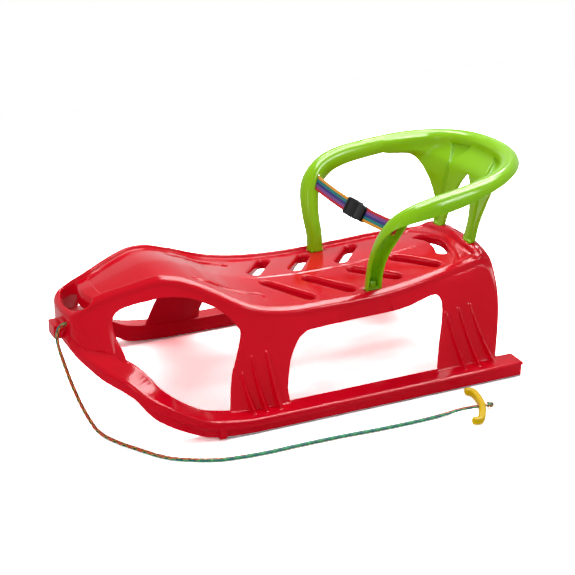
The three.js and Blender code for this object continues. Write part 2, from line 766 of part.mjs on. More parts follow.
function backSolid() {
  const grid = backSurface();
  const normalAt = (j, i) => {
    const row = grid[j];
    const along = row[Math.min(i + 1, row.length - 1)].clone().sub(row[Math.max(i - 1, 0)]);
    const up = grid[Math.min(j + 1, grid.length - 1)][i].clone()
      .sub(grid[Math.max(j - 1, 0)][i]);
    return along.cross(up).normalize();
  };
  const thickness = (j) => chairWall * (1 + legGrowth * (1 - j / (grid.length - 1)) ** 2);
  const front = grid;
  const rear = grid.map((row, j) => row.map((p, i) =>
    p.clone().addScaledVector(normalAt(j, i), thickness(j))));
  const rings = grid.map((_, j) => [...front[j], ...rear[j].slice().reverse()]);
  const count = grid[0].length;
  const corners = ringSkin(rings);
  for (const [ring, flip] of [[rings[0], false], [rings[rings.length - 1], true]]) {
    for (let i = 0; i + 1 < count; i++) {
      const face = quad(ring[i], ring[i + 1], ring[2 * count - 2 - i], ring[2 * count - 1 - i]);
      corners.push(...(flip ? face.reverse() : face));
    }
  }
  return fromTriangles(corners);
}

function archCut() {
  const side = archShares.map(([across, up]) =>
    new THREE.Vector2(across * chairWidth / 2, up * chairTop));
  const shape = new THREE.Shape([...side, ...side.slice(1).reverse()
    .map((p) => new THREE.Vector2(-p.x, p.y))]);
  const cut = prism(shape, chairLength).rotateX(Math.PI / 2).rotateZ(Math.PI / 2);
  return toSolid(cut.translate(chairFront - chairLength - 2 * overrun, 0, 0));
}

// The whole belt leans back about its own line, as the armrests do where it leaves them
function leanBack(solid) {
  return solid.translate([-beltPlace, 0, -beltHeight]).rotate([0, beltTilt, 0])
    .translate([beltPlace, 0, beltHeight]);
}

function beltSlit(side) {
  return leanBack(toSolid(box(slitWidth, slitDepth, slitHeight)
    .translate(beltPlace, side * beltSpan / 2, beltHeight)));
}

function chairSolid() {
  let chair = armSolid().add(backSolid().subtract(archCut()));
  for (const foot of feet) {
    chair = chair.subtract(footBlock(foot, overrun, -2 * overrun, fit));
    chair = chair.add(footBlock(foot, -minStep, fit, footPad));
    chair = chair.add(footBlock(foot, -plugShoulder, -plugDepth, footPad));
  }
  for (const side of [1, -1]) chair = chair.subtract(beltSlit(side));
  return chair;
}

// Lap belt and buckle

const sagAt = (y) => beltHeight - beltSag * (1 - (2 * y / beltSpan) ** 2);

function strapSolid(from, to) {
  const steps = 12;
  const end = Math.sign(to) * (Math.abs(to) - beltEndLength);
  const rings = Array.from({ length: steps + 1 }, (_, i) => {
    const y = from + (end - from) * i / steps;
    const z = sagAt(y);
    return [[-1, -1], [1, -1], [1, 1], [-1, 1]].map(([a, b]) => new THREE.Vector3(
      beltPlace + a * webThickness / 2, y, z + b * webWidth / 2));
  });
  const outline = rings[0].map((p) => new THREE.Vector2(p.x, p.z));
  const stop = box(beltEndThickness, beltEndLength, beltEndHeight)
    .translate(beltPlace, (end + to) / 2, sagAt(to));
  return loft(rings, outline).add(toSolid(stop));
}

const socketEnd = buckleCentre + (socketLength - plugBase) / 2;
const socketStart = socketEnd - socketLength;
const plugStart = socketEnd + fit;
const plugEnd = plugStart + plugBase;

// Flat rounded plate in the belt's plane, laid along the belt
function beltPlate(length, height, depth, round, y) {
  const [a, b] = [length / 2, height / 2];
  const shape = new THREE.Shape([
    [a - round, -b], [a, round - b], [a, b - round], [a - round, b],
    [round - a, b], [-a, b - round], [-a, round - b], [round - a, -b],
  ].map(([u, v]) => new THREE.Vector2(u, v)));
  const plate = prism(shape, depth).translate(0, 0, -depth / 2).rotateX(Math.PI / 2);
  return toSolid(plate.rotateZ(Math.PI / 2).translate(beltPlace, y, sagAt(buckleCentre)));
}

function socketSolid() {
  const centre = (socketStart + socketEnd) / 2;
  const height = sagAt(buckleCentre);
  const cut = (depth, length, tall, y) =>
    toSolid(box(depth, length, tall).translate(beltPlace, y, height));
  const inside = prongDepth + 2 * fit;
  return beltPlate(socketLength, buckleHeight, buckleDepth, wall, centre)
    .subtract(cut(inside, cavityDepth + overrun, buckleHeight - 2 * socketWall,
      socketEnd - cavityDepth / 2 + overrun / 2))
    .subtract(cut(inside, latchWindow, buckleHeight + overrun,
      socketEnd - cavityDepth + latchWindow / 2 + socketWall))
    .subtract(cut(webThickness + 2 * fit, webPocket * 2, webWidth + 2 * webPlay, socketStart));
}

function plugSolid() {
  const height = sagAt(buckleCentre);
  const cut = (depth, length, tall, y, z) =>
    toSolid(box(depth, length, tall).translate(beltPlace, y, z));
  const reach = cavityDepth - 2 * fit;
  const inner = buckleHeight / 2 - socketWall - fit;
  const base = beltPlate(plugBase, buckleHeight - wall, buckleDepth, wall,
    (plugStart + plugEnd) / 2);
  let plug = base.subtract(cut(webThickness + 2 * fit, webPocket * 2, webWidth + 2 * webPlay,
    plugEnd, height));
  plug = plug.add(cut(prongDepth, reach + wall, tongueWidth,
    plugStart - reach / 2 + wall / 2, height));
  const prongReach = prongShare * reach;
  for (const side of [1, -1]) {
    const arm = height + side * (inner - barbReach - prongWidth / 2);
    const start = plugStart - prongReach;
    plug = plug.add(cut(prongDepth, prongReach + wall, prongWidth,
      (start + plugStart + wall) / 2, arm));
    plug = plug.add(cut(prongDepth, latchWindow / 2, prongWidth + barbReach,
      start + latchWindow / 4, arm + side * barbReach / 2));
  }
  return plug;
}

// Pull rope, handle and knots

function ropeSolid() {
  const curve = new THREE.CatmullRomCurve3(
    ropeRoute.map(([x, y, z]) => new THREE.Vector3(x, y, z)), false, 'centripetal');
  const radius = ropeDiameter / 2;
  const section = new THREE.Shape(Array.from({ length: ropeSides }, (_, i) => {
    const angle = (2 * Math.PI * (i + 1 / 2)) / ropeSides;
    return new THREE.Vector2(radius * Math.cos(angle), radius * Math.sin(angle));
  }));
  const tube = new THREE.ExtrudeGeometry(section, {
    steps: 76, bevelEnabled: false, extrudePath: curve,
  });
  return toSolid(tube);
}

const ropePoint = (i) => new THREE.Vector3(...ropeRoute.at(i));
const ropeEnd = ropePoint(-1);
const ropeTail = ropeEnd.clone().sub(ropePoint(-2)).normalize();
const handleCentre = ropeEnd.clone().addScaledVector(ropeTail, -handleBar / 2 - minStep);

function knotSolid(centre) {
  const knot = new THREE.SphereGeometry(knotDiameter / 2, 14, 10);
  return toSolid(knot.rotateX(Math.PI / 2).translate(centre.x, centre.y, centre.z));
}

function handleSolid() {
  const half = handleSpan / 2;
  const oneEnd = handleShares.map(([bow, span]) =>
    new THREE.Vector3(handleBow * bow, half * span, 0));
  oneEnd.push(new THREE.Vector3(handleBow + handleHook, half, 0));
  const curve = new THREE.CatmullRomCurve3(
    [...oneEnd.slice(1).reverse().map(mirror), ...oneEnd], false, 'catmullrom', handleTension);
  const [w, r] = [handleBar / 2, handleRound];
  const section = new THREE.Shape([[w - r, -w], [w, r - w], [w, w - r], [w - r, w],
    [r - w, w], [-w, w - r], [-w, r - w], [r - w, -w]].map(([a, b]) => new THREE.Vector2(a, b)));
  const bar = toSolid(new THREE.ExtrudeGeometry(section, {
    steps: 30, bevelEnabled: false, extrudePath: curve,
  }));
  const radius = (ropeDiameter + ropeHoleClearance) / 2;
  const hole = new THREE.CylinderGeometry(radius, radius, handleSpan, 16).rotateZ(Math.PI / 2);
  hole.rotateZ(-THREE.MathUtils.degToRad(handleTurn));
  return bar.subtract(toSolid(hole));
}

// Assembly

const materials = {
  red: { color: 0xd8172b, roughness: 0.25, metalness: 0 },
  green: { color: 0x8fd014, roughness: 0.3, metalness: 0 },
  steel: { color: 0x9aa0a4, roughness: 0.35, metalness: 1 },
  black: { color: 0x151515, roughness: 0.4, metalness: 0 },
  web: { color: 0x3a3f8f, roughness: 0.9, metalness: 0 },
  rope: { color: 0x1f7a4a, roughness: 0.9, metalness: 0 },
  yellow: { color: 0xf2c60c, roughness: 0.35, metalness: 0 },
};

const sled = new THREE.Group();

function addPiece(name, body, finish, parent = sled) {
  const material = new THREE.MeshStandardMaterial(materials[finish]);
  const mesh = new THREE.Mesh(toGeometry(body), material);
  mesh.name = name;
  parent.add(mesh);
  return mesh;
}

addPiece('sled_body', sledBody(), 'red');
addPiece('runner_strip_left', stripSolid(1), 'steel');
addPiece('runner_strip_right', stripSolid(-1), 'steel');
addPiece('chair', chairSolid(), 'green');
addPiece('buckle_socket', leanBack(socketSolid()), 'black');
addPiece('buckle_plug', leanBack(plugSolid()), 'black');

const strapEnd = beltSpan / 2 + beltEndLength;
addPiece('belt_strap_left', leanBack(strapSolid(plugEnd - webPocket + fit, strapEnd)), 'web');
addPiece('belt_strap_right', leanBack(strapSolid(socketStart + webPocket - fit, -strapEnd)),
  'web');

const knotGap = knotDiameter / 2 + fit;
const noseKnot = ropePoint(0).sub(new THREE.Vector3(knotGap, 0, 0));
addPiece('pull_rope', ropeSolid(), 'rope');
addPiece('rope_nose_knot', knotSolid(noseKnot), 'rope');
addPiece('rope_end_knot', knotSolid(ropeEnd.clone().addScaledVector(ropeTail, knotGap)), 'rope');

const handle = addPiece('rope_handle', handleSolid(), 'yellow');
handle.position.copy(handleCentre);
handle.rotation.z = Math.atan2(-ropeTail.y, -ropeTail.x) + THREE.MathUtils.degToRad(handleTurn);

// The middle of the sled and chair, without the rope, stands over the origin
const standing = new THREE.Box3();
for (const mesh of sled.children) {
  if (!mesh.name.startsWith('rope') && mesh.name !== 'pull_rope') standing.expandByObject(mesh);
}
const middle = standing.getCenter(new THREE.Vector3());
sled.position.set(-middle.x, 0, -standing.min.z);

export default sled;
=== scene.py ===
import bpy, bmesh, math
import numpy as np
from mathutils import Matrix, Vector


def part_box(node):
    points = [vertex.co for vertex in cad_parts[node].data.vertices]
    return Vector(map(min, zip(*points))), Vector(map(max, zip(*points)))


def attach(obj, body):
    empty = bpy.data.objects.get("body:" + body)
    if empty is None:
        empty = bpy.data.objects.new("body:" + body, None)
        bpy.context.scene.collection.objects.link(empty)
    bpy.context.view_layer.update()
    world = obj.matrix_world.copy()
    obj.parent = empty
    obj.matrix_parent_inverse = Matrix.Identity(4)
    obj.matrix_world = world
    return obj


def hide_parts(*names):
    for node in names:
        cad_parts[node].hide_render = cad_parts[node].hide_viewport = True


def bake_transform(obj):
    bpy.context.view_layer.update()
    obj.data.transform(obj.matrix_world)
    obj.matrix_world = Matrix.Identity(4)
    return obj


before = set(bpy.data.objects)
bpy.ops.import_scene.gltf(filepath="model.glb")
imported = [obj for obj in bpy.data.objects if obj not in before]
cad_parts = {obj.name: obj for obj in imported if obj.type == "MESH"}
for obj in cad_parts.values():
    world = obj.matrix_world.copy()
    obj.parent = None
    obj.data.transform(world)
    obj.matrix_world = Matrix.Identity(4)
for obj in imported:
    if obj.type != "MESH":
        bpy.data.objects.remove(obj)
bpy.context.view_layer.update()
# Lengths along the sled are counted from the heels of its runners
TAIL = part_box("runner_strip_left")[0][0]

# The camera stands to the left of the nose and looks down on the sled, as in the picture of
# it, with a lens that is long enough to keep the far runner almost as large as the near one.
CAMERA_PLACE, CAMERA_DIP, CAMERA_TURN = (TAIL + 1.3554, 2.0973, 1.0734), 21.71, 154.44
SENSOR_WIDTH, FOCAL_SHARE = 36, 1400 / 575
bpy.ops.object.camera_add(location=CAMERA_PLACE)
camera = bpy.context.object
camera.name = "camera"
camera.rotation_euler = (math.radians(90 - CAMERA_DIP), 0, math.radians(CAMERA_TURN))
camera.data.sensor_width = SENSOR_WIDTH
camera.data.lens = SENSOR_WIDTH * FOCAL_SHARE
bpy.context.scene.camera = camera

# The pull rope is a 6.5 mm polypropylene braid of strands in bright colours. It leaves a hole
# beside the nose tab, drops to the ground and lies there in a loose bow back along the sled.
ROPE_ROUTE = [
    (757, 27, 165), (768, 27, 165), (779, 27.5, 162), (786, 30, 152), (788, 36, 136),
    (785, 48, 112), (778, 70, 74), (769, 93, 40), (759, 116, 15), (751, 132, 6),
    (743, 149, 3.9), (731, 173, 3.5), (711, 206, 3.4), (690, 238, 3.4), (664, 262, 3.4),
    (610, 289, 3.4), (543, 299, 3.4), (473, 300, 3.4), (402, 302, 3.4), (331, 307, 3.4),
    (255, 309, 3.4), (205, 308, 4.2), (182, 308.4, 6.4), (160, 310, 7.2), (144, 312.1, 7.2),
    (128, 314.2, 7.2),
]
ROPE_DIAMETER = 0.0065
ROPE_SIDES, ROPE_STEP, ROPE_PITCH = 16, 0.0009, 0.55
# Four strands turn one way, over and under four of the other way
STRANDS, STRAND_LEVEL, STRAND_SWING, STRAND_RELIEF = 4, 0.55, 0.45, 0.12
STRAND_COLOURS = {
    "warm": [(0.85, 0.22, 0.01), (0.01, 0.01, 0.01), (0.90, 0.50, 0.02), (0.55, 0.02, 0.01)],
    "cool": [(0.01, 0.30, 0.12), (0.00, 0.16, 0.17), (0.01, 0.01, 0.01), (0.03, 0.42, 0.14)],
}
# How the warm and the cool side of the rope wind round it
SIDE_START, SIDE_WANDER, SIDE_TWIST = 0.6, 1.3, 0.012


def smooth_line(points, steps, closed=False):
    """A line through the points, bent as a springy batten laid through them would be."""
    points = [np.array(p, float) for p in points]
    n = len(points)
    line = []
    for i in range(n if closed else n - 1):
        b, c = points[i], points[(i + 1) % n]
        a = points[i - 1] if closed or i > 0 else 2 * b - c
        d = points[(i + 2) % n] if closed or i + 2 < n else 2 * c - b
        for t in np.arange(steps) / steps:
            line.append(b + (c - a) * t / 2 + (a - 2.5 * b + 2 * c - d / 2) * t**2
                        + (1.5 * b - a / 2 - 1.5 * c + d / 2) * t**3)
    if not closed:
        line.append(points[-1])
    return np.array(line)


def even_line(line, spacing):
    """The same line with its points the same distance apart."""
    run = np.concatenate([[0], np.cumsum(np.linalg.norm(np.diff(line, axis=0), axis=1))])
    at = np.linspace(0, run[-1], max(2, round(run[-1] / spacing) + 1))
    return np.stack([np.interp(at, run, line[:, k]) for k in range(3)], axis=1)


def unit(v):
    return v / np.linalg.norm(v)


def mesh_piece(name, verts, faces, smooth=True):
    mesh = bpy.data.meshes.new(name)
    mesh.from_pydata([tuple(v) for v in verts], [], faces)
    made = bpy.data.objects.new(name, mesh)
    bpy.context.collection.objects.link(made)
    bm = bmesh.new()
    bm.from_mesh(mesh)
    bmesh.ops.remove_doubles(bm, verts=bm.verts, dist=1e-6)
    bmesh.ops.recalc_face_normals(bm, faces=bm.faces)
    bm.to_mesh(mesh)
    bm.free()
    mesh.polygons.foreach_set("use_smooth", [smooth] * len(mesh.polygons))
    return made


def ring_faces(rings, sides):
    faces = []
    for r in range(rings - 1):
        for i in range(sides):
            j = (i + 1) % sides
            faces.append((r * sides + i, r * sides + j, (r + 1) * sides + j, (r + 1) * sides + i))
    return faces


def lofted(name, rings, smooth=True):
    """A skin through rings of the same number of points, with a flat face on each end."""
    sides = len(rings[0])
    last = (len(rings) - 1) * sides
    faces = ring_faces(len(rings), sides)
    faces += [tuple(range(sides)), tuple(range(last, last + sides))]
    return mesh_piece(name, np.concatenate(rings), faces, smooth)


def tube_rings(line, sides, radius):
    """Rings round a line; radius(i, angle) gives the distance of each point from it."""
    rings, ahead = [], np.gradient(line, axis=0)
    turn = np.arange(sides) * 2 * math.pi / sides
    across = unit(np.cross(ahead[0], (0.01, 0, 1)))
    for i, point in enumerate(line):
        along = unit(ahead[i])
        across = unit(across - along * across.dot(along))
        over = np.cross(across, along)
        reach = np.array([radius(i, a) for a in turn])[:, None]
        rings.append(point + reach * (np.cos(turn)[:, None] * across
                                      + np.sin(turn)[:, None] * over))
    return rings


def strand_heights(along, angle):
    """Height of the strands that turn one way, and of those that turn the other way."""
    first, second = math.cos(STRANDS * angle + along), math.cos(STRANDS * angle - along)
    return (abs(first) * (STRAND_LEVEL + STRAND_SWING * second),
            abs(second) * (STRAND_LEVEL - STRAND_SWING * first))


def braid_reach(radius):
    def reach(i, angle):
        relief = max(strand_heights(i * ROPE_PITCH, angle))
        return radius * (1 - STRAND_RELIEF + STRAND_RELIEF * relief)
    return reach


def paint_strands(piece):
    """Give each point of a braided tube the colour of the strand that it lies on."""
    paint = piece.data.color_attributes.new("strands", "FLOAT_COLOR", "POINT")
    for i, item in enumerate(paint.data):
        along = (i // ROPE_SIDES) * ROPE_PITCH
        angle = (i % ROPE_SIDES) * 2 * math.pi / ROPE_SIDES
        wander = SIDE_WANDER * math.sin(along * SIDE_TWIST)
        side = "cool" if math.sin(angle + SIDE_START + wander) > 0 else "warm"
        first, second = strand_heights(along, angle)
        way = along if first > second else -along
        strand = math.floor((STRANDS * angle + way) / math.pi + 0.5) + (first > second)
        item.color = (*STRAND_COLOURS[side][strand % len(STRAND_COLOURS[side])], 1)


def feed(socket, value):
    """Join another node to a socket, or set the socket to a number, a colour or a vector."""
    if isinstance(value, tuple):
        socket.default_value = (*value, 1)[:len(socket.default_value)]
    elif isinstance(value, (int, float)):
        socket.default_value = value
    else:
        socket.id_data.links.new(value, socket)


def add_node(tree, kind, inputs, **settings):
    """The outputs of a new shader node whose inputs are set or joined."""
    made = tree.nodes.new("ShaderNode" + kind)
    for setting, value in settings.items():
        setattr(made, setting, value)
    for socket, value in inputs.items():
        feed(made.inputs[socket], value)
    return made.outputs


def new_material(name, colour, roughness, **settings):
    """A plastic, metal or fibre with its own colour; the rest of its look is added to it."""
    made = bpy.data.materials.new(name)
    made.use_nodes = True
    surface = made.node_tree.nodes["Principled BSDF"].inputs
    feed(surface["Base Color"], colour)
    feed(surface["Roughness"], roughness)
    for socket, value in settings.items():
        feed(surface[socket.replace("_", " ")], value)
    return made, made.node_tree, surface


def effect_group(name, **outputs):
    """An empty set of nodes that gives a material the named values or colours."""
    tree = bpy.data.node_groups.new(name, "ShaderNodeTree")
    for label, kind in outputs.items():
        tree.interface.new_socket(label, in_out="OUTPUT", socket_type="NodeSocket" + kind)
    return tree, tree.nodes.new("NodeGroupOutput").inputs


def noise(tree, where, scale, detail=2, rough=0.5):
    return add_node(tree, "TexNoise", {"Vector": where, "Scale": scale, "Detail": detail,
                                       "Roughness": rough})["Fac"]


def ramp(tree, value, low, high, to_low=0, to_high=1):
    return add_node(tree, "MapRange", {"Value": value, "From Min": low, "From Max": high,
                                       "To Min": to_low, "To Max": to_high})["Result"]


def maths(tree, operation, a, b):
    return add_node(tree, "Math", {0: a, 1: b}, operation=operation)[0]


def mix_colour(tree, share, a, b):
    return add_node(tree, "Mix", {0: share, 6: a, 7: b}, data_type="RGBA")[2]


def add_bump(tree, surface, height, strength, distance):
    bump = add_node(tree, "Bump", {"Height": height, "Strength": strength, "Distance": distance})
    feed(surface["Normal"], bump["Normal"])


# Fibres: a fine fuzz in the surface and a light soiling that dulls the colours in places
fibre, out = effect_group("fibre", Soil="Float", Fuzz="Float")
where = add_node(fibre, "TexCoord", {})["Object"]
feed(out["Soil"], ramp(fibre, noise(fibre, where, scale=60), 0.5, 0.8, to_high=0.25))
feed(out["Fuzz"], noise(fibre, where, scale=2500, detail=3))

braid, tree, surface = new_material("braided rope", (0.3, 0.3, 0.1), roughness=0.75)
strands = add_node(tree, "VertexColor", {}, layer_name="strands")["Color"]
fuzz = add_node(tree, "Group", {}, node_tree=fibre)
feed(surface["Base Color"], mix_colour(tree, fuzz["Soil"], strands, (0.05, 0.05, 0.04)))
add_bump(tree, surface, fuzz["Fuzz"], strength=0.3, distance=0.0004)


def coat(piece, material):
    """Give a piece one material all over, in place of what its tools left on it."""
    piece.data.materials.clear()
    piece.data.materials.append(material)


def braided(name, line, radius):
    piece = lofted(name, tube_rings(line, ROPE_SIDES, braid_reach(radius)))
    paint_strands(piece)
    coat(piece, braid)
    return piece


rope_line = np.array([(TAIL + x / 1000, y / 1000, z / 1000) for x, y, z in ROPE_ROUTE])
rope_line = even_line(smooth_line(rope_line, steps=12), ROPE_STEP)
rope = braided("pull_rope_braid", rope_line, ROPE_DIAMETER / 2)
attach(rope, "sled")
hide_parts("pull_rope")

# Both ends of the rope are stopped with a tight overhand knot: one inside the nose, behind its
# hole, and one behind the handle.
KNOT_SIZE, KNOT_STRAND, KNOT_STEPS, KNOT_LOBE, KNOT_LIFT = 0.0145, 0.0026, 120, 1.6, 1.1


def tied_knot(name, node):
    """A three-lobed turn of the rope pulled tight round itself, in the middle of its solid."""
    turn = np.linspace(0, 2 * math.pi, KNOT_STEPS)
    line = np.stack([np.sin(turn) + KNOT_LOBE * np.sin(2 * turn),
                     np.cos(turn) - KNOT_LOBE * np.cos(2 * turn),
                     -KNOT_LIFT * np.sin(3 * turn)], axis=1)
    low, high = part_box(node)
    centre = (np.array(low) + np.array(high)) / 2
    knot = braided(name, centre + line * (KNOT_SIZE / 2 - KNOT_STRAND) / (1 + KNOT_LOBE),
                   KNOT_STRAND)
    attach(knot, "sled")
    return knot


nose_knot = tied_knot("nose_knot", "rope_nose_knot")
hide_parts("rope_nose_knot")
end_knot = tied_knot("end_knot", "rope_end_knot")
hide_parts("rope_end_knot")

# The handle is a flat bowed grip of yellow plastic with hooked ends, through whose middle the
# rope passes. It is moulded in one and has soft edges all round.
HANDLE_SPAN, HANDLE_BOW, HANDLE_HOOK, HANDLE_BAR, SLIM = 0.112, 0.017, 0.007, 0.014, 0.86
HANDLE_TURN, GRIP_STEP, GRIP_SIDES = math.radians(-18), 0.0015, 24
GRIP_TIP, BLUNT_TIP = 0.005, 0.02
# The handle lies along the last few points of the rope's line
LAST_STRETCH, KNOT_GAP = 12, 0.001
ROPE_HOLE, HOLE_REACH, HOLE_SIDES = 0.00375, 0.04, 24
# Half of the grip, from its hook to its middle: shares of the bow and of the half span
GRIP = [(1 + HANDLE_HOOK / HANDLE_BOW, -0.95), (0.95, -0.98), (0.56, -0.93), (0.30, -0.7),
        (0.08, -0.36), (0, 0)]
grip_line = [(HANDLE_BOW * u, HANDLE_SPAN / 2 * v, 0) for u, v in GRIP]
grip_line += [(x, -y, z) for x, y, z in grip_line[-2::-1]]
grip_line = even_line(smooth_line(grip_line, steps=10), GRIP_STEP)


def grip_reach(i, angle):
    """Half the bar's thickness: a square with round corners, which closes in at both ends."""
    from_end = min(i, len(grip_line) - 1 - i) * GRIP_STEP / GRIP_TIP
    close = math.sqrt(max(BLUNT_TIP, 1 - (1 - min(1, from_end)) ** 2))
    square = (abs(math.cos(angle)) ** 4 + abs(math.sin(angle)) ** 4) ** -0.25
    return HANDLE_BAR * SLIM / 2 * close * square


def pick(*pieces):
    """Select these pieces alone, with the first as the active one."""
    bpy.ops.object.select_all(action="DESELECT")
    for piece in pieces:
        piece.select_set(True)
    bpy.context.view_layer.objects.active = pieces[0]


def change(piece, kind, **settings):
    """Change a piece with a modifier that is then applied."""
    pick(piece)
    modifier = piece.modifiers.new(kind, kind)
    for setting, value in settings.items():
        setattr(modifier, setting, value)
    bpy.ops.object.modifier_apply(modifier=modifier.name)


def fuse(solid, tool, operation="UNION"):
    """Join a solid with another one, which is used up."""
    change(solid, "BOOLEAN", operation=operation, object=tool, solver="MANIFOLD")
    bpy.data.objects.remove(tool)


def cut(solid, tool):
    fuse(solid, tool, "DIFFERENCE")


def rod(radius, length, sides, place, turn):
    """A round bar about a place, upright until it is turned."""
    bpy.ops.mesh.primitive_cylinder_add(radius=radius, depth=length, vertices=sides,
                                        location=place, rotation=turn)
    return bpy.context.object


rope_way = unit(rope_line[-1] - rope_line[-LAST_STRETCH])
grip_centre = rope_line[-1] - rope_way * (HANDLE_BAR / 2 + KNOT_GAP)
grip = lofted("rope_grip", tube_rings(grip_line, GRIP_SIDES, grip_reach))
grip.rotation_euler = (0, 0, math.atan2(-rope_way[1], -rope_way[0]) + HANDLE_TURN)
grip.location = grip_centre
pick(grip)
bpy.ops.object.transform_apply()
cut(grip, rod(ROPE_HOLE, HOLE_REACH, HOLE_SIDES, grip_centre,
              (0, math.pi / 2, math.atan2(rope_way[1], rope_way[0]))))
bpy.ops.object.shade_smooth_by_angle(angle=math.radians(40))

# Moulded plastic: a faint flow in its colour, a fine grain, scuffs that roughen it in places
# and paler, duller corners where it has been handled
moulded, out = effect_group("moulded plastic", Flow="Float", Wear="Float", Scuff="Float",
                            Grain="Float")
where = add_node(moulded, "TexCoord", {})["Object"]
feed(out["Flow"], ramp(moulded, noise(moulded, where, scale=7, detail=3), 0.3, 0.7))
corners = ramp(moulded, add_node(moulded, "NewGeometry", {})["Pointiness"], 0.53, 0.60)
patches = ramp(moulded, noise(moulded, where, scale=45, detail=4), 0.45, 0.65)
feed(out["Wear"], maths(moulded, "MULTIPLY", corners, patches))
scuffs = noise(moulded, where, scale=28, detail=6, rough=0.65)
feed(out["Scuff"], ramp(moulded, scuffs, 0.5, 0.8))
feed(out["Grain"], noise(moulded, where, scale=1400))
CORNER_WEAR, SCUFF_ROUGHNESS, GRAIN_HEIGHT = 0.18, 0.12, 0.0004


def plastic(name, colour, deep, worn, roughness, specular, grain=0.03):
    """Moulded plastic between two tones, rougher on its scuffs and paler on its corners."""
    made, tree, surface = new_material(name, colour, roughness, Specular_IOR_Level=specular)
    effect = add_node(tree, "Group", {}, node_tree=moulded)
    tone = mix_colour(tree, effect["Flow"], deep, colour)
    wear = maths(tree, "MULTIPLY", effect["Wear"], CORNER_WEAR)
    feed(surface["Base Color"], mix_colour(tree, wear, tone, worn))
    feed(surface["Roughness"],
         ramp(tree, effect["Scuff"], 0, 1, roughness, roughness + SCUFF_ROUGHNESS))
    add_bump(tree, surface, effect["Grain"], grain, GRAIN_HEIGHT)
    return made


yellow = plastic("yellow plastic", (0.74, 0.50, 0.003), deep=(0.66, 0.43, 0.002),
                 worn=(0.85, 0.66, 0.12), roughness=0.3, specular=0.10)
coat(grip, yellow)
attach(grip, "rope_handle")
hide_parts("rope_handle")

# The picture was taken on a white sweep under one large soft light above and behind the sled,
# with white all round that fills the shadows.
FLOOR_SIZE, FLOOR_SHADE, FLOOR_SEEN = 3.8, (0.7, 0.7, 0.7), (3.2, 3.2, 3.2)
FLOOR_HEIGHT, FILL_LIGHT = -0.0004, 0.6
bpy.ops.mesh.primitive_plane_add(size=FLOOR_SIZE, location=(0, 0, FLOOR_HEIGHT))
floor = bpy.context.object
floor.name = "floor"
floor_white, tree, surface = new_material("floor white", FLOOR_SHADE, roughness=0.9,
                                          Specular_IOR_Level=0)
seen = add_node(tree, "LightPath", {})["Is Camera Ray"]
feed(surface["Base Color"], mix_colour(tree, seen, FLOOR_SHADE, FLOOR_SEEN))
coat(floor, floor_white)

world = bpy.data.worlds.new("studio")
bpy.context.scene.world = world
world.use_nodes = True
tree = world.node_tree
backdrop = tree.nodes["Background"].inputs
feed(backdrop["Color"], (1, 1, 1))
rays = add_node(tree, "LightPath", {})
seen = maths(tree, "ADD", rays["Is Camera Ray"], rays["Is Glossy Ray"])
seen = maths(tree, "ADD", seen, rays["Is Transmission Ray"])
feed(backdrop["Strength"], ramp(tree, seen, 0, 1, to_low=FILL_LIGHT))


def strip_light(name, place, size, power, faces, sheen_only=False):
    """A long soft light; one that is for sheen only shows in glossy surfaces and adds no light."""
    bpy.ops.object.light_add(type="AREA", location=place)
    light = bpy.context.object
    light.name = name
    light.data.shape = "RECTANGLE"
    light.data.size, light.data.size_y = size
    light.data.energy = power
    light.visible_diffuse = not sheen_only
    light.rotation_euler = (Vector(faces) - Vector(place)).to_track_quat("-Z", "Y").to_euler()


strip_light("overhead", (-0.70, -0.10, 1.8), (1.6, 0.3), 14, (-0.70, -0.09, 0))
strip_light("behind", (-0.75, -0.95, 1.6), (1.6, 0.2), 9, (-0.75, 0, 0))
strip_light("overhead sheen", (-0.70, -0.10, 1.81), (1.6, 0.8), 140, (-0.70, -0.09, 0), True)
strip_light("behind sheen", (-0.75, -0.95, 1.61), (1.6, 0.2), 46, (-0.75, 0, 0), True)
strip_light("front left", (1.9, 0.9, 1.3), (0.25, 0.8), 8, (0, 0, 0.15))
strip_light("front right sheen", (-1.29, 1.64, 2.0), (0.9, 0.7), 75, (-0.25, 0, 0.33), True)
bpy.context.scene.view_settings.view_transform = "Standard"

# The sled body is one hollow moulding of glossy red plastic with walls of 4 mm: a humped deck
# in a raised rim, side walls that open into legs, two channel runners that meet in the nose,
# slots with deep collars, and sockets that take the chair's feet. All its edges are soft.
LENGTH, HALF_TRACK, HUMP, WALL = 0.788, 0.237, 0.243, 0.004
# Gap between pieces that sit in or under one another
PLAY = 0.0003
# Left half of the rim's crown, and then of the walls' foot, from the tail to the nose: shares
# of the sled's length, half width and height
RIM = [
    (-0.010, 0, 0.832), (-0.010, 0.19, 0.830), (-0.005, 0.329, 0.817), (0.008, 0.414, 0.792),
    (0.030, 0.447, 0.770), (0.079, 0.485, 0.757), (0.142, 0.532, 0.745), (0.218, 0.570, 0.720),
    (0.294, 0.591, 0.702), (0.371, 0.595, 0.695), (0.447, 0.603, 0.700), (0.510, 0.624, 0.712),
    (0.561, 0.637, 0.737), (0.605, 0.637, 0.774), (0.641, 0.617, 0.815), (0.673, 0.565, 0.860),
    (0.701, 0.500, 0.905), (0.732, 0.447, 0.955), (0.764, 0.405, 0.988), (0.796, 0.372, 0.998),
    (0.827, 0.345, 0.978), (0.859, 0.316, 0.947), (0.891, 0.280, 0.914), (0.919, 0.258, 0.881),
    (0.944, 0.252, 0.848), (0.964, 0.238, 0.815), (0.975, 0.190, 0.794), (0.979, 0.101, 0.790),
    (0.980, 0, 0.790),
]
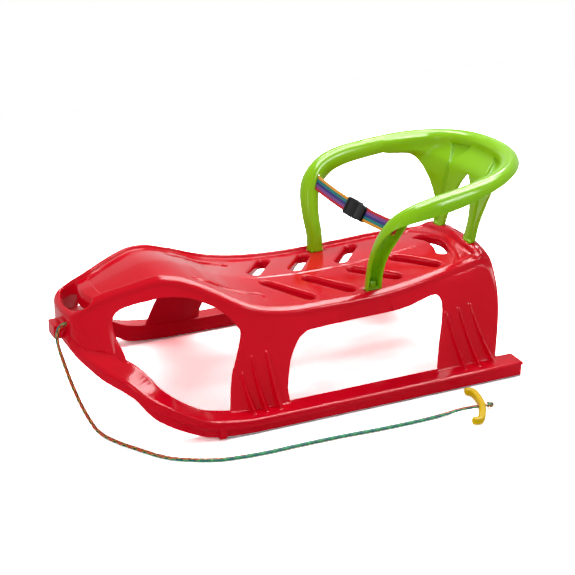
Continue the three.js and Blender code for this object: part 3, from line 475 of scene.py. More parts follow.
WALL_FOOT = [
    (0.034, 0, 0.123), (0.037, 0.380, 0.123), (0.041, 0.675, 0.123), (0.044, 0.827, 0.123),
    (0.060, 0.869, 0.123), (0.091, 0.869, 0.123), (0.148, 0.869, 0.123), (0.218, 0.869, 0.123),
    (0.294, 0.869, 0.123), (0.371, 0.869, 0.123), (0.447, 0.869, 0.123), (0.510, 0.869, 0.123),
    (0.567, 0.869, 0.123), (0.618, 0.861, 0.128), (0.662, 0.861, 0.132), (0.701, 0.857, 0.148),
    (0.732, 0.852, 0.173), (0.766, 0.844, 0.206), (0.798, 0.831, 0.263), (0.827, 0.806, 0.329),
    (0.853, 0.751, 0.403), (0.873, 0.675, 0.465), (0.891, 0.570, 0.510), (0.906, 0.481, 0.543),
    (0.929, 0.414, 0.564), (0.952, 0.346, 0.564), (0.967, 0.278, 0.584), (0.975, 0.169, 0.634),
    (0.976, 0, 0.646),
]
MIRROR = np.array([1, -1, 1])


def on_sled(share):
    return np.array([TAIL + share[0] * LENGTH, share[1] * HALF_TRACK, share[2] * HUMP])


def closed_loop(shares):
    left = [on_sled(s) for s in shares]
    return smooth_line(left + [p * MIRROR for p in left[-2:0:-1]], steps=6, closed=True)


def inset(loop, distance, drop):
    ahead = (np.roll(loop, -1, 0) - np.roll(loop, 1, 0))[:, :2]
    ahead /= np.linalg.norm(ahead, axis=1)[:, None]
    moved = loop.copy()
    moved[:, 0] += ahead[:, 1] * distance
    moved[:, 1] -= ahead[:, 0] * distance
    moved[:, 2] -= drop
    return moved


rim_loop, foot_loop = closed_loop(RIM), closed_loop(WALL_FOOT)
# The tail's corners: how far forward they are squared out, how far behind the heels they may
# reach, and the shares of the wall's height where the swell is full and where it starts to shrink
TAIL_REACH, TAIL_PLANE, FULL_SWELL, SWELL_SHRINKS = 0.118, 0.011, 0.12, 0.25
# The deck rises to its middle by a share of its half width, and by more than that at the tail
DECK_CROWN, TAIL_CROWN, CROWN_ROUND, DECK_COLUMNS = 0.075, 0.6, 1.4, 36


def eased(share):
    share = np.clip(share, 0, 1)
    return share * share * (3 - 2 * share)


def wall_ring(shoulder, foot, share):
    """The side wall part of the way down, where its tail corners are squared out."""
    ring = shoulder + (foot - shoulder) * share
    near_tail = np.clip(1 - (ring[:, 0] - TAIL) / TAIL_REACH, 0, 1)
    if share > SWELL_SHRINKS:
        swell = math.sin(math.pi * math.sqrt(share))
    else:
        swell = math.sin(math.pi / 2 * min(1, math.sqrt(share / FULL_SWELL)))
    ring[:, 0] -= (ring[:, 0] - TAIL + TAIL_PLANE) * near_tail * swell
    return ring


def deck_rows(ring, crown):
    """Rungs across a ring from its left side to its right, raised towards the middle."""
    rows, t = [], np.linspace(0, 1, DECK_COLUMNS + 1)[:, None]
    for i in range(len(ring) // 2 + 1):
        a, b = ring[i], ring[-i % len(ring)]
        row = a + (b - a) * t
        near_tail = min(1, max(0, 1 - (a[0] - TAIL) / TAIL_REACH))
        rise = crown * (1 + TAIL_CROWN * near_tail) * np.linalg.norm(b - a) / 2
        row[:, 2] += (rise * (1 - abs(2 * t - 1) ** CROWN_ROUND))[:, 0]
        rows.append(row)
    return rows


def grid_faces(rows, columns, start=0):
    """Faces between points that are numbered along the rows of a grid."""
    return [(a, a + 1, a + 1 + columns, a + columns) for row in range(rows - 1)
            for a in range(start + row * columns, start + (row + 1) * columns - 1)]


# Section of the rim, from the deck outwards: how far in and how far down. Towards the tail the
# step down to the deck and the slope outside it both fade to a part of their depth.
RIM_BEAD = [(0.0185, 0.0065), (0.0175, 0.0058), (0.0166, 0.0012), (0.0155, 0.0001), (0.0130, 0),
            (0.0115, 0.0003), (0.0040, 0.0046), (0.0018, 0.0068), (0.0004, 0.0105)]
STEP_FROM, SHOULDER, SLOPE_FADE, STEP_FADE, FADE_LEFT = 0.013, 0.0145, 0.034, 0.085, 0.28
HOLLOW_EDGE, HOLLOW_STEP = 0.001, 0.0065
WALL_SHARES = (0.01, 0.025, 0.05, *np.linspace(0.08, 0.92, 11))


def left_at_tail(reach):
    return 1 - (1 - FADE_LEFT) * eased(1 - (rim_loop[:, 0] - TAIL) / reach)


def deck_block(name, wall, floor_drop):
    """The solid between the deck and the runners' height, drawn in all round by a wall."""
    slope, step = left_at_tail(SLOPE_FADE), left_at_tail(STEP_FADE)
    shoulder, foot = inset(rim_loop, wall, SHOULDER * slope + wall), inset(foot_loop, wall, 0)
    if wall:
        rings = [inset(rim_loop, wall + HOLLOW_EDGE, HOLLOW_STEP * step + wall)]
    else:
        rings = [inset(rim_loop, across, down * (step if across > STEP_FROM else slope))
                 for across, down in RIM_BEAD] + [shoulder]
    rings += [wall_ring(shoulder, foot, share) for share in WALL_SHARES]
    rings += [foot, foot - (0, 0, floor_drop)]
    verts, faces = np.concatenate(rings), ring_faces(len(rings), len(rim_loop))
    for ring, crown in ((rings[0], DECK_CROWN), (rings[-1], 0)):
        rows = deck_rows(ring, crown)
        faces += grid_faces(len(rows), len(rows[0]), len(verts))
        verts = np.concatenate([verts] + rows)
    return mesh_piece(name, verts, faces)


body = deck_block("body_moulding", 0, floor_drop=0.002)
deck_top = body.copy()
deck_top.data = body.data.copy()
bpy.context.collection.objects.link(deck_top)
cut(body, deck_block("hollow", WALL, floor_drop=0.02))
ABOVE_ALL = 0.6


def deck_height(x, y):
    hit, place, _, _ = deck_top.ray_cast(Vector((x, y, ABOVE_ALL)), Vector((0, 0, -1)))
    return place.z if hit else 0.0


# Openings: outlines in length and height of the two pairs in the side walls, and across and
# height of the one under the tail
NOSE_OPENING = [
    (0.701, 0.152), (0.685, 0.354), (0.668, 0.469), (0.651, 0.609), (0.657, 0.671),
    (0.685, 0.770), (0.716, 0.823), (0.744, 0.856), (0.789, 0.872), (0.827, 0.856),
    (0.868, 0.823), (0.892, 0.776), (0.900, 0.708), (0.898, 0.634), (0.892, 0.560),
]
SIDE_WINDOW = [
    (0.201, 0.140), (0.180, 0.300), (0.160, 0.432), (0.150, 0.535), (0.157, 0.588),
    (0.173, 0.601), (0.212, 0.580), (0.269, 0.556), (0.459, 0.547), (0.485, 0.547),
    (0.500, 0.539), (0.522, 0.498), (0.543, 0.412), (0.556, 0.309), (0.564, 0.218),
]
TAIL_OPENING = [(0.768, 0.123), (0.700, 0.260), (0.615, 0.400), (0.520, 0.540), (0.440, 0.600),
                (0.3, 0.615), (0, 0.620)]
TAIL_OPENING += [(-u, w) for u, w in TAIL_OPENING[-2::-1]]
OPENING_FLOOR, SIDE_CUT, TAIL_CUT = 0.041 * HUMP, (-0.26, 0.26), (-0.02, 0.07)


def to_floor(line):
    """An outline with both ends taken straight down to the level of the runners' wall."""
    ends = line[[0, -1]] * (1, 1, 0) + (0, 0, OPENING_FLOOR)
    return np.concatenate([ends[:1], line, ends[1:]])


for opening in (NOSE_OPENING, SIDE_WINDOW):
    line = to_floor(smooth_line([(TAIL + u * LENGTH, 0, w * HUMP) for u, w in opening], 5))
    cut(body, lofted("cutter", [line + (0, y, 0) for y in SIDE_CUT]))
line = to_floor(smooth_line([(TAIL, u * HALF_TRACK, w * HUMP) for u, w in TAIL_OPENING], 5))
cut(body, lofted("cutter", [line + (x, 0, 0) for x in TAIL_CUT]))

# The straight slots of the deck, from their inner to their outer ends, and then all slots:
# middle, turn, length, width, bow and the depth of the collar round the hole
DECK_SLOTS = [(0.518, 0.110, 0.452, 0.405), (0.414, 0.110, 0.349, 0.390),
              (0.297, 0.101, 0.228, 0.363), (0.185, 0.084, 0.122, 0.338)]
SLOT_WIDTH, SLOT_EXTRA, SLOT_STEPS = 0.024, 0.021, 9
COLLAR_DEPTH, COLLAR_WALL, COLLAR_TOP = 0.018, 0.0034, 0.002
slots = [(TAIL + 0.058 * LENGTH, 0, math.pi, 0.104, 0.024, 0.010, 0.018),
         (TAIL + 0.951 * LENGTH, 0, 0, 0.108, 0.026, 0.007, 0.025)]
for in_x, in_y, out_x, out_y in DECK_SLOTS:
    for side in (1, -1):
        a = np.array([TAIL + in_x * LENGTH, side * in_y * HALF_TRACK])
        b = np.array([TAIL + out_x * LENGTH, side * out_y * HALF_TRACK])
        run = b - a
        slots.append((*(a + b) / 2, math.atan2(run[1], run[0]) - math.pi / 2,
                      np.linalg.norm(run) + SLOT_EXTRA, SLOT_WIDTH, 0, COLLAR_DEPTH))


def slot_ring(slot, grow, rise=0, level=None):
    """Outline of a slot with round ends, grown all round, on the deck or at one level."""
    x, y, turn, length, width, bow, _ = slot
    reach, half = (length - width) / 2, width / 2 + grow
    points = []
    for end in (1, -1):
        for t in np.linspace(-end, end, SLOT_STEPS)[:-1]:
            points.append((-bow * t * t + end * half, reach * t))
        for angle in np.linspace(0, math.pi, SLOT_STEPS)[:-1]:
            points.append((-bow + end * half * math.cos(angle),
                           end * (reach + half * math.sin(angle))))
    c, s = math.cos(turn), math.sin(turn)
    outline = [(x + u * c - v * s, y + u * s + v * c) for u, v in points]
    return np.array([(u, v, deck_height(u, v) + rise if level is None else level)
                     for u, v in outline])


for slot in slots:
    fuse(body, lofted("collar", [slot_ring(slot, COLLAR_WALL, -COLLAR_TOP),
                                 slot_ring(slot, COLLAR_WALL, -slot[6])]))

# Sockets under the deck for the chair's feet, the front pair first: place and spread, the
# height of the foot, and its length and width
FEET = [(0.241, 0.217, 0.164, 0.030, 0.019), (0.0095, 0.102, 0.1965, 0.015, 0.030)]
SOCKET_WALL, SOCKET_DEPTH, SOCKET_TOP = 0.003, 0.019, 0.003


def block(x_size, y_size, low, high, x, y):
    bpy.ops.mesh.primitive_cube_add(size=1, location=(x, y, (low + high) / 2))
    made = bpy.context.object
    made.scale = (x_size, y_size, high - low)
    bpy.ops.object.transform_apply()
    return made


def foot_block(foot, grow, low, high):
    """A block round a foot of the chair, between two levels counted from the foot's own."""
    x, y, height, length, width = foot
    return block(length + grow, width + grow, height + low, height + high, x, y)


feet = [(TAIL + place, side * spread / 2, height, length, width)
        for place, spread, height, length, width in FEET for side in (1, -1)]
front_feet = feet[:2]
for foot in feet:
    top = deck_height(*foot[:2]) - SOCKET_TOP - foot[2]
    fuse(body, foot_block(foot, 2 * SOCKET_WALL, -SOCKET_DEPTH, top))

# Runners and nose ledge in one sweep from the left heel round the nose to the right heel:
# outer top edge with the depth of its lip and the rise of its underside, then the inner edge
OUTER_EDGE = [
    (0, 1, 0.123, 0.021, 0), (0.256, 1, 0.123, 0.025, 0), (0.497, 0.998, 0.123, 0.045, 0),
    (0.624, 0.996, 0.123, 0.053, 0), (0.675, 0.996, 0.128, 0.058, 0.004),
    (0.751, 0.987, 0.165, 0.066, 0.023), (0.799, 0.979, 0.230, 0.070, 0.077),
    (0.845, 0.954, 0.317, 0.074, 0.151), (0.878, 0.865, 0.366, 0.078, 0.213),
    (0.911, 0.717, 0.440, 0.082, 0.340), (0.937, 0.574, 0.477, 0.082, 0.381),
    (0.948, 0.498, 0.498, 0.082, 0.402), (0.963, 0.388, 0.523, 0.066, 0.443),
    (0.972, 0.316, 0.543, 0.056, 0.476), (0.980, 0.232, 0.576, 0.053, 0.509),
    (0.983, 0.127, 0.593, 0.053, 0.526), (0.985, 0, 0.605, 0.053, 0.538),
]
INNER_EDGE = [
    (0, 0.827, 0.128), (0.256, 0.827, 0.128), (0.497, 0.827, 0.128), (0.624, 0.827, 0.128),
    (0.675, 0.827, 0.136), (0.742, 0.819, 0.173), (0.774, 0.814, 0.214), (0.815, 0.793, 0.300),
    (0.843, 0.751, 0.379), (0.868, 0.650, 0.481), (0.891, 0.515, 0.527), (0.906, 0.447, 0.547),
    (0.931, 0.346, 0.568), (0.947, 0.278, 0.572), (0.954, 0.194, 0.601), (0.959, 0.101, 0.638),
    (0.962, 0, 0.646),
]
SOLE, LIP_INSET, SOLE_WALL = 0.0033, 0.005, 0.012
LIP_SLOPE, LIP_SLOPE_DROP = 0.0030, 0.0017
LEAST_STEP = 0.001


def both_sides(points):
    return smooth_line(list(points) + [p * MIRROR for p in points[-2::-1]], steps=6)


top_edge = both_sides([on_sled(s) for s in OUTER_EDGE])
inner_edge = both_sides([on_sled(s) for s in INNER_EDGE])
depths = both_sides([np.array([s[3] * HUMP, 0, s[4] * HUMP]) for s in OUTER_EDGE])


def section_point(i, inward, height=None, depth=0):
    across = inner_edge[i] - top_edge[i]
    point = top_edge[i] + across * inward / math.hypot(across[0], across[1])
    point[2] = point[2] - depth if height is None else height
    return point


def runner_ring(i):
    """Section of a runner: a drooping lip outside, a broad sole under it and a thin inner wall."""
    across = inner_edge[i] - top_edge[i]
    width = math.hypot(across[0], across[1])
    lip_foot = top_edge[i][2] - max(depths[i][0], LEAST_STEP)
    under = min(SOLE + max(depths[i][2], 0), lip_foot - LEAST_STEP)
    sole = min(LIP_INSET + SOLE_WALL, width / 2)
    wall = max(width - WALL, sole + LEAST_STEP)
    far = max(width, wall + WALL)
    return np.array([
        section_point(i, LIP_SLOPE), section_point(i, 0, None, LIP_SLOPE_DROP),
        section_point(i, 0, lip_foot), section_point(i, LIP_INSET, lip_foot),
        section_point(i, LIP_INSET, under), section_point(i, sole, under),
        section_point(i, sole, None, WALL), section_point(i, wall, None, WALL),
        section_point(i, wall, under), section_point(i, far, under), section_point(i, far)])


fuse(body, lofted("runners", [runner_ring(i) for i in range(len(top_edge))]))
# A plate closes each heel, and a boss stands before the end of each steel strip
HEEL_WIDTH, HEEL_TOP = (1 - INNER_EDGE[0][1]) * HALF_TRACK - LIP_INSET, 0.029
BOSS_X, BOSS_LENGTH, BOSS_WIDTH = TAIL + 0.734 * LENGTH, 0.013, SOLE_WALL + LIP_INSET
BOSS_BELOW, BOSS_TOP = 0.002, 0.003
station = min(range(len(top_edge) // 2), key=lambda i: abs(top_edge[i][0] - BOSS_X))
for side in (1, -1):
    fuse(body, block(WALL, HEEL_WIDTH, SOLE, HEEL_TOP, TAIL + WALL / 2,
                     side * (HALF_TRACK - LIP_INSET - HEEL_WIDTH / 2)))
    fuse(body, block(BOSS_LENGTH, BOSS_WIDTH, SOLE + depths[station][2] - BOSS_BELOW,
                     top_edge[station][2] - BOSS_TOP, BOSS_X,
                     side * (top_edge[station][1] - BOSS_WIDTH / 2)))

# Fins: three creases on each leg that sweep down and back and run out on the runner, by the
# length and height of their top and the length of their foot
FINS = [(0.663, 0.375, 0.652), (0.637, 0.470, 0.625), (0.602, 0.480, 0.594),
        (0.148, 0.480, 0.138), (0.113, 0.490, 0.100), (0.080, 0.500, 0.062)]
FIN_STEPS, FIN_BURIED, FIN_SWELL, FIN_CURVE, FIN_HALF = 14, 0.002, 0.014, 1.2, 0.00175
RUNNER_TOP, RIM_END = 0.123, 3


def wall_side(x, z):
    share = np.clip((rim_loop[:, 2] - z) / (rim_loop[:, 2] - foot_loop[:, 2]), 0, 1)[:, None]
    line = rim_loop + (foot_loop - rim_loop) * share
    line = line[RIM_END:len(line) // 2 - RIM_END]
    return line[np.argmin(abs(line[:, 0] - x)), 1]


for top_x, top_z, foot_x in FINS:
    for side in (1, -1):
        rings = []
        for t in np.linspace(0, 1, FIN_STEPS):
            x = TAIL + (top_x + (foot_x - top_x) * t * t) * LENGTH
            z = (top_z + (RUNNER_TOP - top_z) * t) * HUMP - WALL * t / 2
            face = wall_side(x, z)
            reach, half = FIN_BURIED + FIN_SWELL * t ** FIN_CURVE, FIN_HALF * (1 + t)
            rings.append(np.array([(x - half - reach / 3, side * (face - FIN_BURIED), z),
                                   (x - half / 3, side * (face + reach), z),
                                   (x + half / 3, side * (face + reach), z),
                                   (x + half, side * (face - FIN_BURIED), z)]))
        fuse(body, lofted("fin", rings))

# Tab at the foot of the nose, beside which the rope comes out, in two steps: reach, width and
# how far below the tab's top they start and end
TAB_TOP = 0.658 * HUMP
for reach, width, low, high in ((0.020, 0.034, 0.024, 0), (0.016, 0.030, 0.020, 0.004)):
    fuse(body, block(reach, width, TAB_TOP - low, TAB_TOP - high,
                     TAIL + LENGTH - reach / 2, 0))

# The holes themselves, with soft mouths at the deck: how much they grow and rise from it. The
# straight ones are a little tighter.
TIGHTER, BELOW_DECK, ABOVE_DECK = 0.0018, 0.05, 0.03
MOUTH = [(0, -0.0075), (0.001, -0.0036), (0.0042, 0.0006), (0.0042, ABOVE_DECK)]
for slot in slots:
    hole = 0 if slot[5] else -TIGHTER
    rings = [slot_ring(slot, hole, level=BELOW_DECK)]
    rings += [slot_ring(slot, hole + grow, rise) for grow, rise in MOUTH]
    cut(body, lofted("slot", rings))
# Holes of the sockets; round the front ones the deck is cut level for the foot to stand on
LEVEL_PLAY, HOLE_INSET, HOLE_DEPTH = 0.001, 0.007, 0.0163
for foot in front_feet:
    cut(body, foot_block(foot, LEVEL_PLAY, 0, ABOVE_DECK))
for foot in feet:
    cut(body, foot_block(foot, -HOLE_INSET, -HOLE_DEPTH, ABOVE_DECK))
cut(body, rod(ROPE_HOLE, HOLE_REACH, HOLE_SIDES,
              (TAIL + 0.98 * LENGTH, *rope_line[0][1:]), (0, math.pi / 2, 0)))


def melt(piece, facet):
    """Skin a piece anew in small facets, so that its edges can be softened together."""
    pick(piece)
    piece.data.remesh_voxel_size = facet
    bpy.ops.object.voxel_remesh()


def soften(piece, rounds, keep):
    change(piece, "SMOOTH", iterations=rounds, factor=0.5)
    change(piece, "DECIMATE", ratio=keep)
    bpy.ops.object.shade_smooth()


melt(body, facet=0.0018)
change(body, "SMOOTH", iterations=3, factor=0.5)

# Low relief of the deck: a panel sunk into the nose that fades out over the hump, a bead down
# the middle, a groove behind the tail slot, and a trough beside the rim on each side, whose
# round end is the deep one. Each is a line with its half-width and its depth.
PANEL = [(0.714, 0), (0.713, 0.028), (0.709, 0.040), (0.698, 0.047), (0.675, 0.055),
         (0.650, 0.062), (0.620, 0.066), (0.560, 0.066)]
PANEL_DEPTH, PANEL_FADE, RELIEF_EDGE = 0.0024, (0.565, 0.690), 0.0035
BEADS = [([(0.443, 0), (0.089, 0)], 0.0028, -0.0017),
         ([(0.066, -0.098), (0.050, -0.079), (0.038, -0.040), (0.0345, 0), (0.038, 0.040),
           (0.050, 0.079), (0.066, 0.098)], 0.0055, 0.0022)]
TROUGH = [(0.556, 0.062, 0.005, 0.0025), (0.520, 0.068, 0.008, 0.0050),
          (0.490, 0.076, 0.010, 0.0070), (0.463, 0.082, 0.012, 0.0085),
          (0.446, 0.081, 0.012, 0.0090)]
# The relief is sunk into what faces upwards and lies above the runners
FACING_UP, DECK_ABOVE = 0.35, 0.6 * HUMP


def nearest_on(line, places):
    """Distance in plan of each place from a line, and how far along the line it lies."""
    nearest, along = np.full(len(places), 9.0), np.zeros(len(places))
    for i, (a, b) in enumerate(zip(line, line[1:])):
        run = b - a
        share = np.clip((places - a) @ run / (run @ run), 0, 1)
        gap = np.linalg.norm(places - a - share[:, None] * run, axis=1)
        along = np.where(gap < nearest, i + share, along)
        nearest = np.minimum(nearest, gap)
    return nearest, along


def sunk_relief(places):
    """How deep the relief is at each place in plan, counted from the tail."""
    edge = smooth_line([(x, y, 0) for x, y in PANEL], steps=5)[:, :2]
    nearest = np.minimum(nearest_on(edge, places)[0], nearest_on(edge * (1, -1), places)[0])
    half_width = np.interp(places[:, 0], edge[::-1, 0], edge[::-1, 1])
    inside = (abs(places[:, 1]) < half_width) & (places[:, 0] < edge[0][0])
    fade = eased((places[:, 0] - PANEL_FADE[0]) / (PANEL_FADE[1] - PANEL_FADE[0]))
    depth = PANEL_DEPTH * fade * np.where(inside, eased(nearest / RELIEF_EDGE), 0)
    for line, half_width, deep in BEADS:
        line = smooth_line([(x, y, 0) for x, y in line], steps=6)[:, :2]
        depth += deep * eased(1 - nearest_on(line, places)[0] / half_width)
    stations = smooth_line([(x, y, r) for x, y, r, _ in TROUGH], steps=5)
    depths = smooth_line([(deep, 0, 0) for *_, deep in TROUGH], steps=5)[:, 0]
    for side in (1, -1):
        gap, along = nearest_on(stations[:, :2] * (1, side), places)
        radius = np.interp(along, range(len(stations)), stations[:, 2])
        deep = np.interp(along, range(len(stations)), depths)
        depth += deep * eased(2 * (1 - gap / radius))
    return depth


count = len(body.data.vertices)
skin, facing = np.empty(count * 3), np.empty(count * 3)
body.data.vertices.foreach_get("co", skin)
body.data.vertices.foreach_get("normal", facing)
skin, facing = skin.reshape(-1, 3), facing.reshape(-1, 3)
on_deck = (facing[:, 2] > FACING_UP) & (skin[:, 2] > DECK_ABOVE)
skin[on_deck, 2] -= sunk_relief(skin[on_deck, :2] - (TAIL, 0))
body.data.vertices.foreach_set("co", skin.ravel())
body.data.update()
soften(body, rounds=1, keep=0.22)

red = plastic("red plastic", (0.72, 0.002, 0.016), deep=(0.64, 0.001, 0.012),
              worn=(0.85, 0.16, 0.16), roughness=0.12, specular=0.09)
coat(body, red)
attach(body, "sled")
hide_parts("sled_body")

# The steel strips are flat rolled bars of 10 x 3 mm that are pressed on under the runners, from
# the heel to a small boss at the bend. Running over snow and grit keeps them bright.
STRIP_THICKNESS, STRIP_INSET, STRIP_EDGE = 0.003, 0.001, 0.0004


def strip_under(name, side):
    """A bar along the sole that ends just before the boss."""
    end = BOSS_X - BOSS_LENGTH / 2 - PLAY
    last = sum(top_edge[:len(top_edge) // 2, 0] < end)
    near, far = LIP_INSET + STRIP_INSET, LIP_INSET + SOLE_WALL - STRIP_INSET
    rings = []
    for i in range(last + 1):
        high = SOLE + depths[i][2] - PLAY
        low = high - STRIP_THICKNESS
        corners = ((near, high), (far, high), (far, low), (near, low))
        rings.append(np.array([section_point(i, inward, height) for inward, height in corners]))
    share = (end - top_edge[last - 1][0]) / (top_edge[last][0] - top_edge[last - 1][0])
    rings[-1] = rings[-2] + (rings[-1] - rings[-2]) * share
    return lofted(name, [ring * (1, side, 1) for ring in rings], smooth=False)


# Rolled steel: fine scratches along the bar and patches of dull tarnish
brushed, out = effect_group("rolled steel", Scratch="Float", Tarnish="Float")
where = add_node(brushed, "TexCoord", {})["Object"]
stretched = add_node(brushed, "Mapping", {"Vector": where, "Scale": (0.02, 1, 1)})["Vector"]
feed(out["Scratch"], noise(brushed, stretched, scale=2600, detail=3))
feed(out["Tarnish"], ramp(brushed, noise(brushed, where, scale=35, detail=5), 0.45, 0.75))
steel, tree, surface = new_material("strip steel", (0.55, 0.56, 0.57), roughness=0.32,
                                    Metallic=1.0)
effect = add_node(tree, "Group", {}, node_tree=brushed)
feed(surface["Base Color"],
     mix_colour(tree, effect["Tarnish"], (0.60, 0.61, 0.62), (0.33, 0.31, 0.29)))
feed(surface["Roughness"], ramp(tree, effect["Scratch"], 0.3, 0.7, 0.22, 0.5))
add_bump(tree, surface, effect["Scratch"], strength=0.15, distance=0.0002)
for side, end, node in ((1, "left", "runner_strip_left"), (-1, "right", "runner_strip_right")):
    strip = strip_under("strip_bar_" + end, side)
    change(strip, "BEVEL", width=STRIP_EDGE, segments=2)
    bpy.ops.object.shade_smooth_by_angle(angle=math.radians(35))
    coat(strip, steel)
    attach(strip, "sled")
    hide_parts(node)

# The chair is one moulding of lime-green plastic that plugs into the deck: a loop of channel
# section, open below, that rises from the front feet as armrests and goes round the back, and
# a fluted backrest under it that parts into two legs at an arch.
CHAIR_FRONT, CHAIR_LENGTH, CHAIR_WIDTH, CHAIR_HEIGHT = 0.241, 0.315, 0.350, 0.350
CHAIR_WALL = 0.0035
# Left half of the loop, from the foot of the leg up and round to the middle of the back:
# shares of the chair's length, half width and height, how wide and deep the channel is, and
# then the side to which it opens
ARM_PATH = [
    (0, 0.603, 0.440, 0.76, 0.95), (0, 0.633, 0.560, 0.76, 0.92),
    (-0.002, 0.711, 0.660, 0.84, 0.86), (0.014, 0.803, 0.760, 0.95, 0.92),
    (0.056, 0.886, 0.847, 1, 1), (0.135, 0.955, 0.900, 1.03, 1.04),
    (0.250, 0.988, 0.931, 1.05, 1.10), (0.400, 0.978, 0.954, 1.05, 1.06),
    (0.548, 0.937, 0.976, 1.05, 0.96), (0.680, 0.862, 0.996, 1.03, 0.83),
    (0.800, 0.728, 1.014, 0.97, 0.73), (0.900, 0.520, 1.028, 0.95, 0.70),
    (0.955, 0.285, 1.034, 0.95, 0.72), (0.972, 0, 1.036, 0.95, 0.72),
]
ARM_OPEN = [
    (0, 1, 0), (0, 1, 0), (0, 1, -0.15), (0, 0.85, -0.45), (0, 0.5, -0.85), (0, 0.2, -1),
    (0, 0.08, -1), (0, 0.1, -1), (0, 0.2, -1), (-0.05, 0.25, -1), (-0.1, 0.25, -1),
    (-0.2, 0.15, -1), (-0.25, 0.05, -1), (-0.25, 0, -1),
]
ARM_WIDTH, ARM_DEPTH, ARM_STEPS, ARM_ROUND = 0.038, 0.026, 24, 0.9


def on_chair(share):
    return np.array([TAIL + CHAIR_FRONT - share[0] * CHAIR_LENGTH, share[1] * CHAIR_WIDTH / 2,
                     share[2] * CHAIR_HEIGHT])


arm_line = both_sides([on_chair(s) for s in ARM_PATH])
arm_size = both_sides([np.array([s[3] * ARM_WIDTH, 0, s[4] * ARM_DEPTH]) for s in ARM_PATH])
arm_open = both_sides([np.array(s, float) for s in ARM_OPEN])


def channel_ring(i):
    """Half-round outside, hollow towards its open side."""
    along = unit(arm_line[min(i + 1, len(arm_line) - 1)] - arm_line[max(i - 1, 0)])
    up = -arm_open[i]
    up = unit(up - along * up.dot(along))
    across = np.cross(up, along)
    width, _, depth = arm_size[i]
    turn = np.linspace(0, math.pi, ARM_STEPS + 1)
    rings = []
    for w, d, way in ((width, depth, 1), (width - 2 * CHAIR_WALL, depth - CHAIR_WALL, -1)):
        arc = [w / 2 * np.cos(turn), -depth / 2 + d * np.sin(turn) ** ARM_ROUND]
        rings.append(np.stack(arc, axis=1)[::way])
    outline = np.concatenate(rings)
    return arm_line[i] + outline[:, :1] * across + outline[:, 1:] * up


chair = lofted("chair_moulding", [channel_ring(i) for i in range(len(arm_line))])
# Left half of the backrest in rows from the legs upwards, each from its edge to its middle
BACK = [
    [(0.715, 0.365, 0.530), (0.715, 0.250, 0.530), (0.715, 0.125, 0.530), (0.715, 0, 0.530)],
    [(0.744, 0.415, 0.686), (0.757, 0.292, 0.686), (0.764, 0.151, 0.686), (0.765, 0, 0.686)],
    [(0.731, 0.588, 0.829), (0.772, 0.400, 0.829), (0.797, 0.200, 0.829), (0.803, 0, 0.829)],
    [(0.680, 0.765, 0.909), (0.766, 0.560, 0.909), (0.816, 0.290, 0.909), (0.829, 0, 0.909)],
]
# Above that the backrest flares out and over into the loop: places round the loop's section,
# and how far in from its skin and below it
LOOP_STOPS, LIP_SHARES = (47, 60, 70, 78), (0.15, 1, 1, 1)
LIP = [(0, 0.0050, 0.005), (5, 0.0010, 0), (9, 0, 0.0012)]
back_rows = [[on_chair(s) for s in row] for row in BACK]
loop_rings = [channel_ring(i) for i in LOOP_STOPS]
for place, inwards, drop in LIP:
    back_rows.append([r[place] + (unit(r[0] - r[ARM_STEPS]) * inwards - (0, 0, drop)) * share
                      for r, share in zip(loop_rings, LIP_SHARES)])
# On each side a crease rises from the leg and parts into a dart: height, inner and outer edge
DART = [(0.18, 0.060, 0.060), (0.25, 0.057, 0.057), (0.300, 0.058, 0.058), (0.318, 0.055, 0.063),
        (0.330, 0.050, 0.070), (0.345, 0.040, 0.080), (0.352, 0.035, 0.084), (0.365, 0.028, 0.088)]
DART_DEPTH, DART_EDGE, DART_OPEN, CREASE_WIDTH = 0.0058, 0.0035, 0.012, 0.0035
# The backrest thickens towards the legs and again where it flares over into the loop
LEG_EXTRA, LEG_ROWS, FLARE_EXTRA, FLARE_ROWS = 1.6, 60, 1.2, 36


def pleat_depth(y, z):
    """How far the backrest is folded in at the dart and the crease below it."""
    heights, inner_edges, outer_edges = zip(*DART)
    near, far = np.interp(z, heights, inner_edges), np.interp(z, heights, outer_edges)
    inside = max(0, min(abs(y) - near, far - abs(y)) / DART_EDGE)
    crease = math.exp(-((abs(y) - (near + far) / 2) / CREASE_WIDTH) ** 2)
    opened = min(1, (far - near) / DART_OPEN)
    return DART_DEPTH * (opened * eased(inside) + (1 - opened) * crease)


curves = [smooth_line(row + [p * MIRROR for p in row[-2::-1]], steps=24) for row in back_rows]
front = [smooth_line([curve[i] for curve in curves], steps=12) for i in range(len(curves[0]))]
front = np.array(front).transpose(1, 0, 2)
sheet_normal = np.cross(np.gradient(front, axis=1), np.gradient(front, axis=0))
sheet_normal /= np.linalg.norm(sheet_normal, axis=2)[:, :, None]
folds = np.array([[pleat_depth(p[1], p[2]) for p in row] for row in front])[:, :, None]
front = front + sheet_normal * folds
row = np.arange(len(front))[:, None, None]
thickness = CHAIR_WALL * (1 + LEG_EXTRA * (1 - row / LEG_ROWS) ** 2
                          + FLARE_EXTRA * np.maximum(0, row / FLARE_ROWS - 1))
rear = front + sheet_normal * thickness
rows, columns = front.shape[:2]
half = rows * columns
faces = grid_faces(rows, columns) + grid_faces(rows, columns, half)
border = (list(range(columns)) + [j * columns + columns - 1 for j in range(1, rows)]
          + [half - columns + i for i in range(columns - 2, -1, -1)]
          + [j * columns for j in range(rows - 2, 0, -1)])
faces += [(a, b, b + half, a + half) for a, b in zip(border, border[1:] + border[:1])]
backrest = mesh_piece("backrest", np.concatenate([front.reshape(-1, 3), rear.reshape(-1, 3)]),
                      faces)
ARCH_CUT = (TAIL - 0.2, TAIL + 0.2)
ARCH = [(0, 0.886), (0.069, 0.851), (0.126, 0.800), (0.177, 0.729), (0.205, 0.670),
        (0.211, 0.609), (0.211, 0.450)]
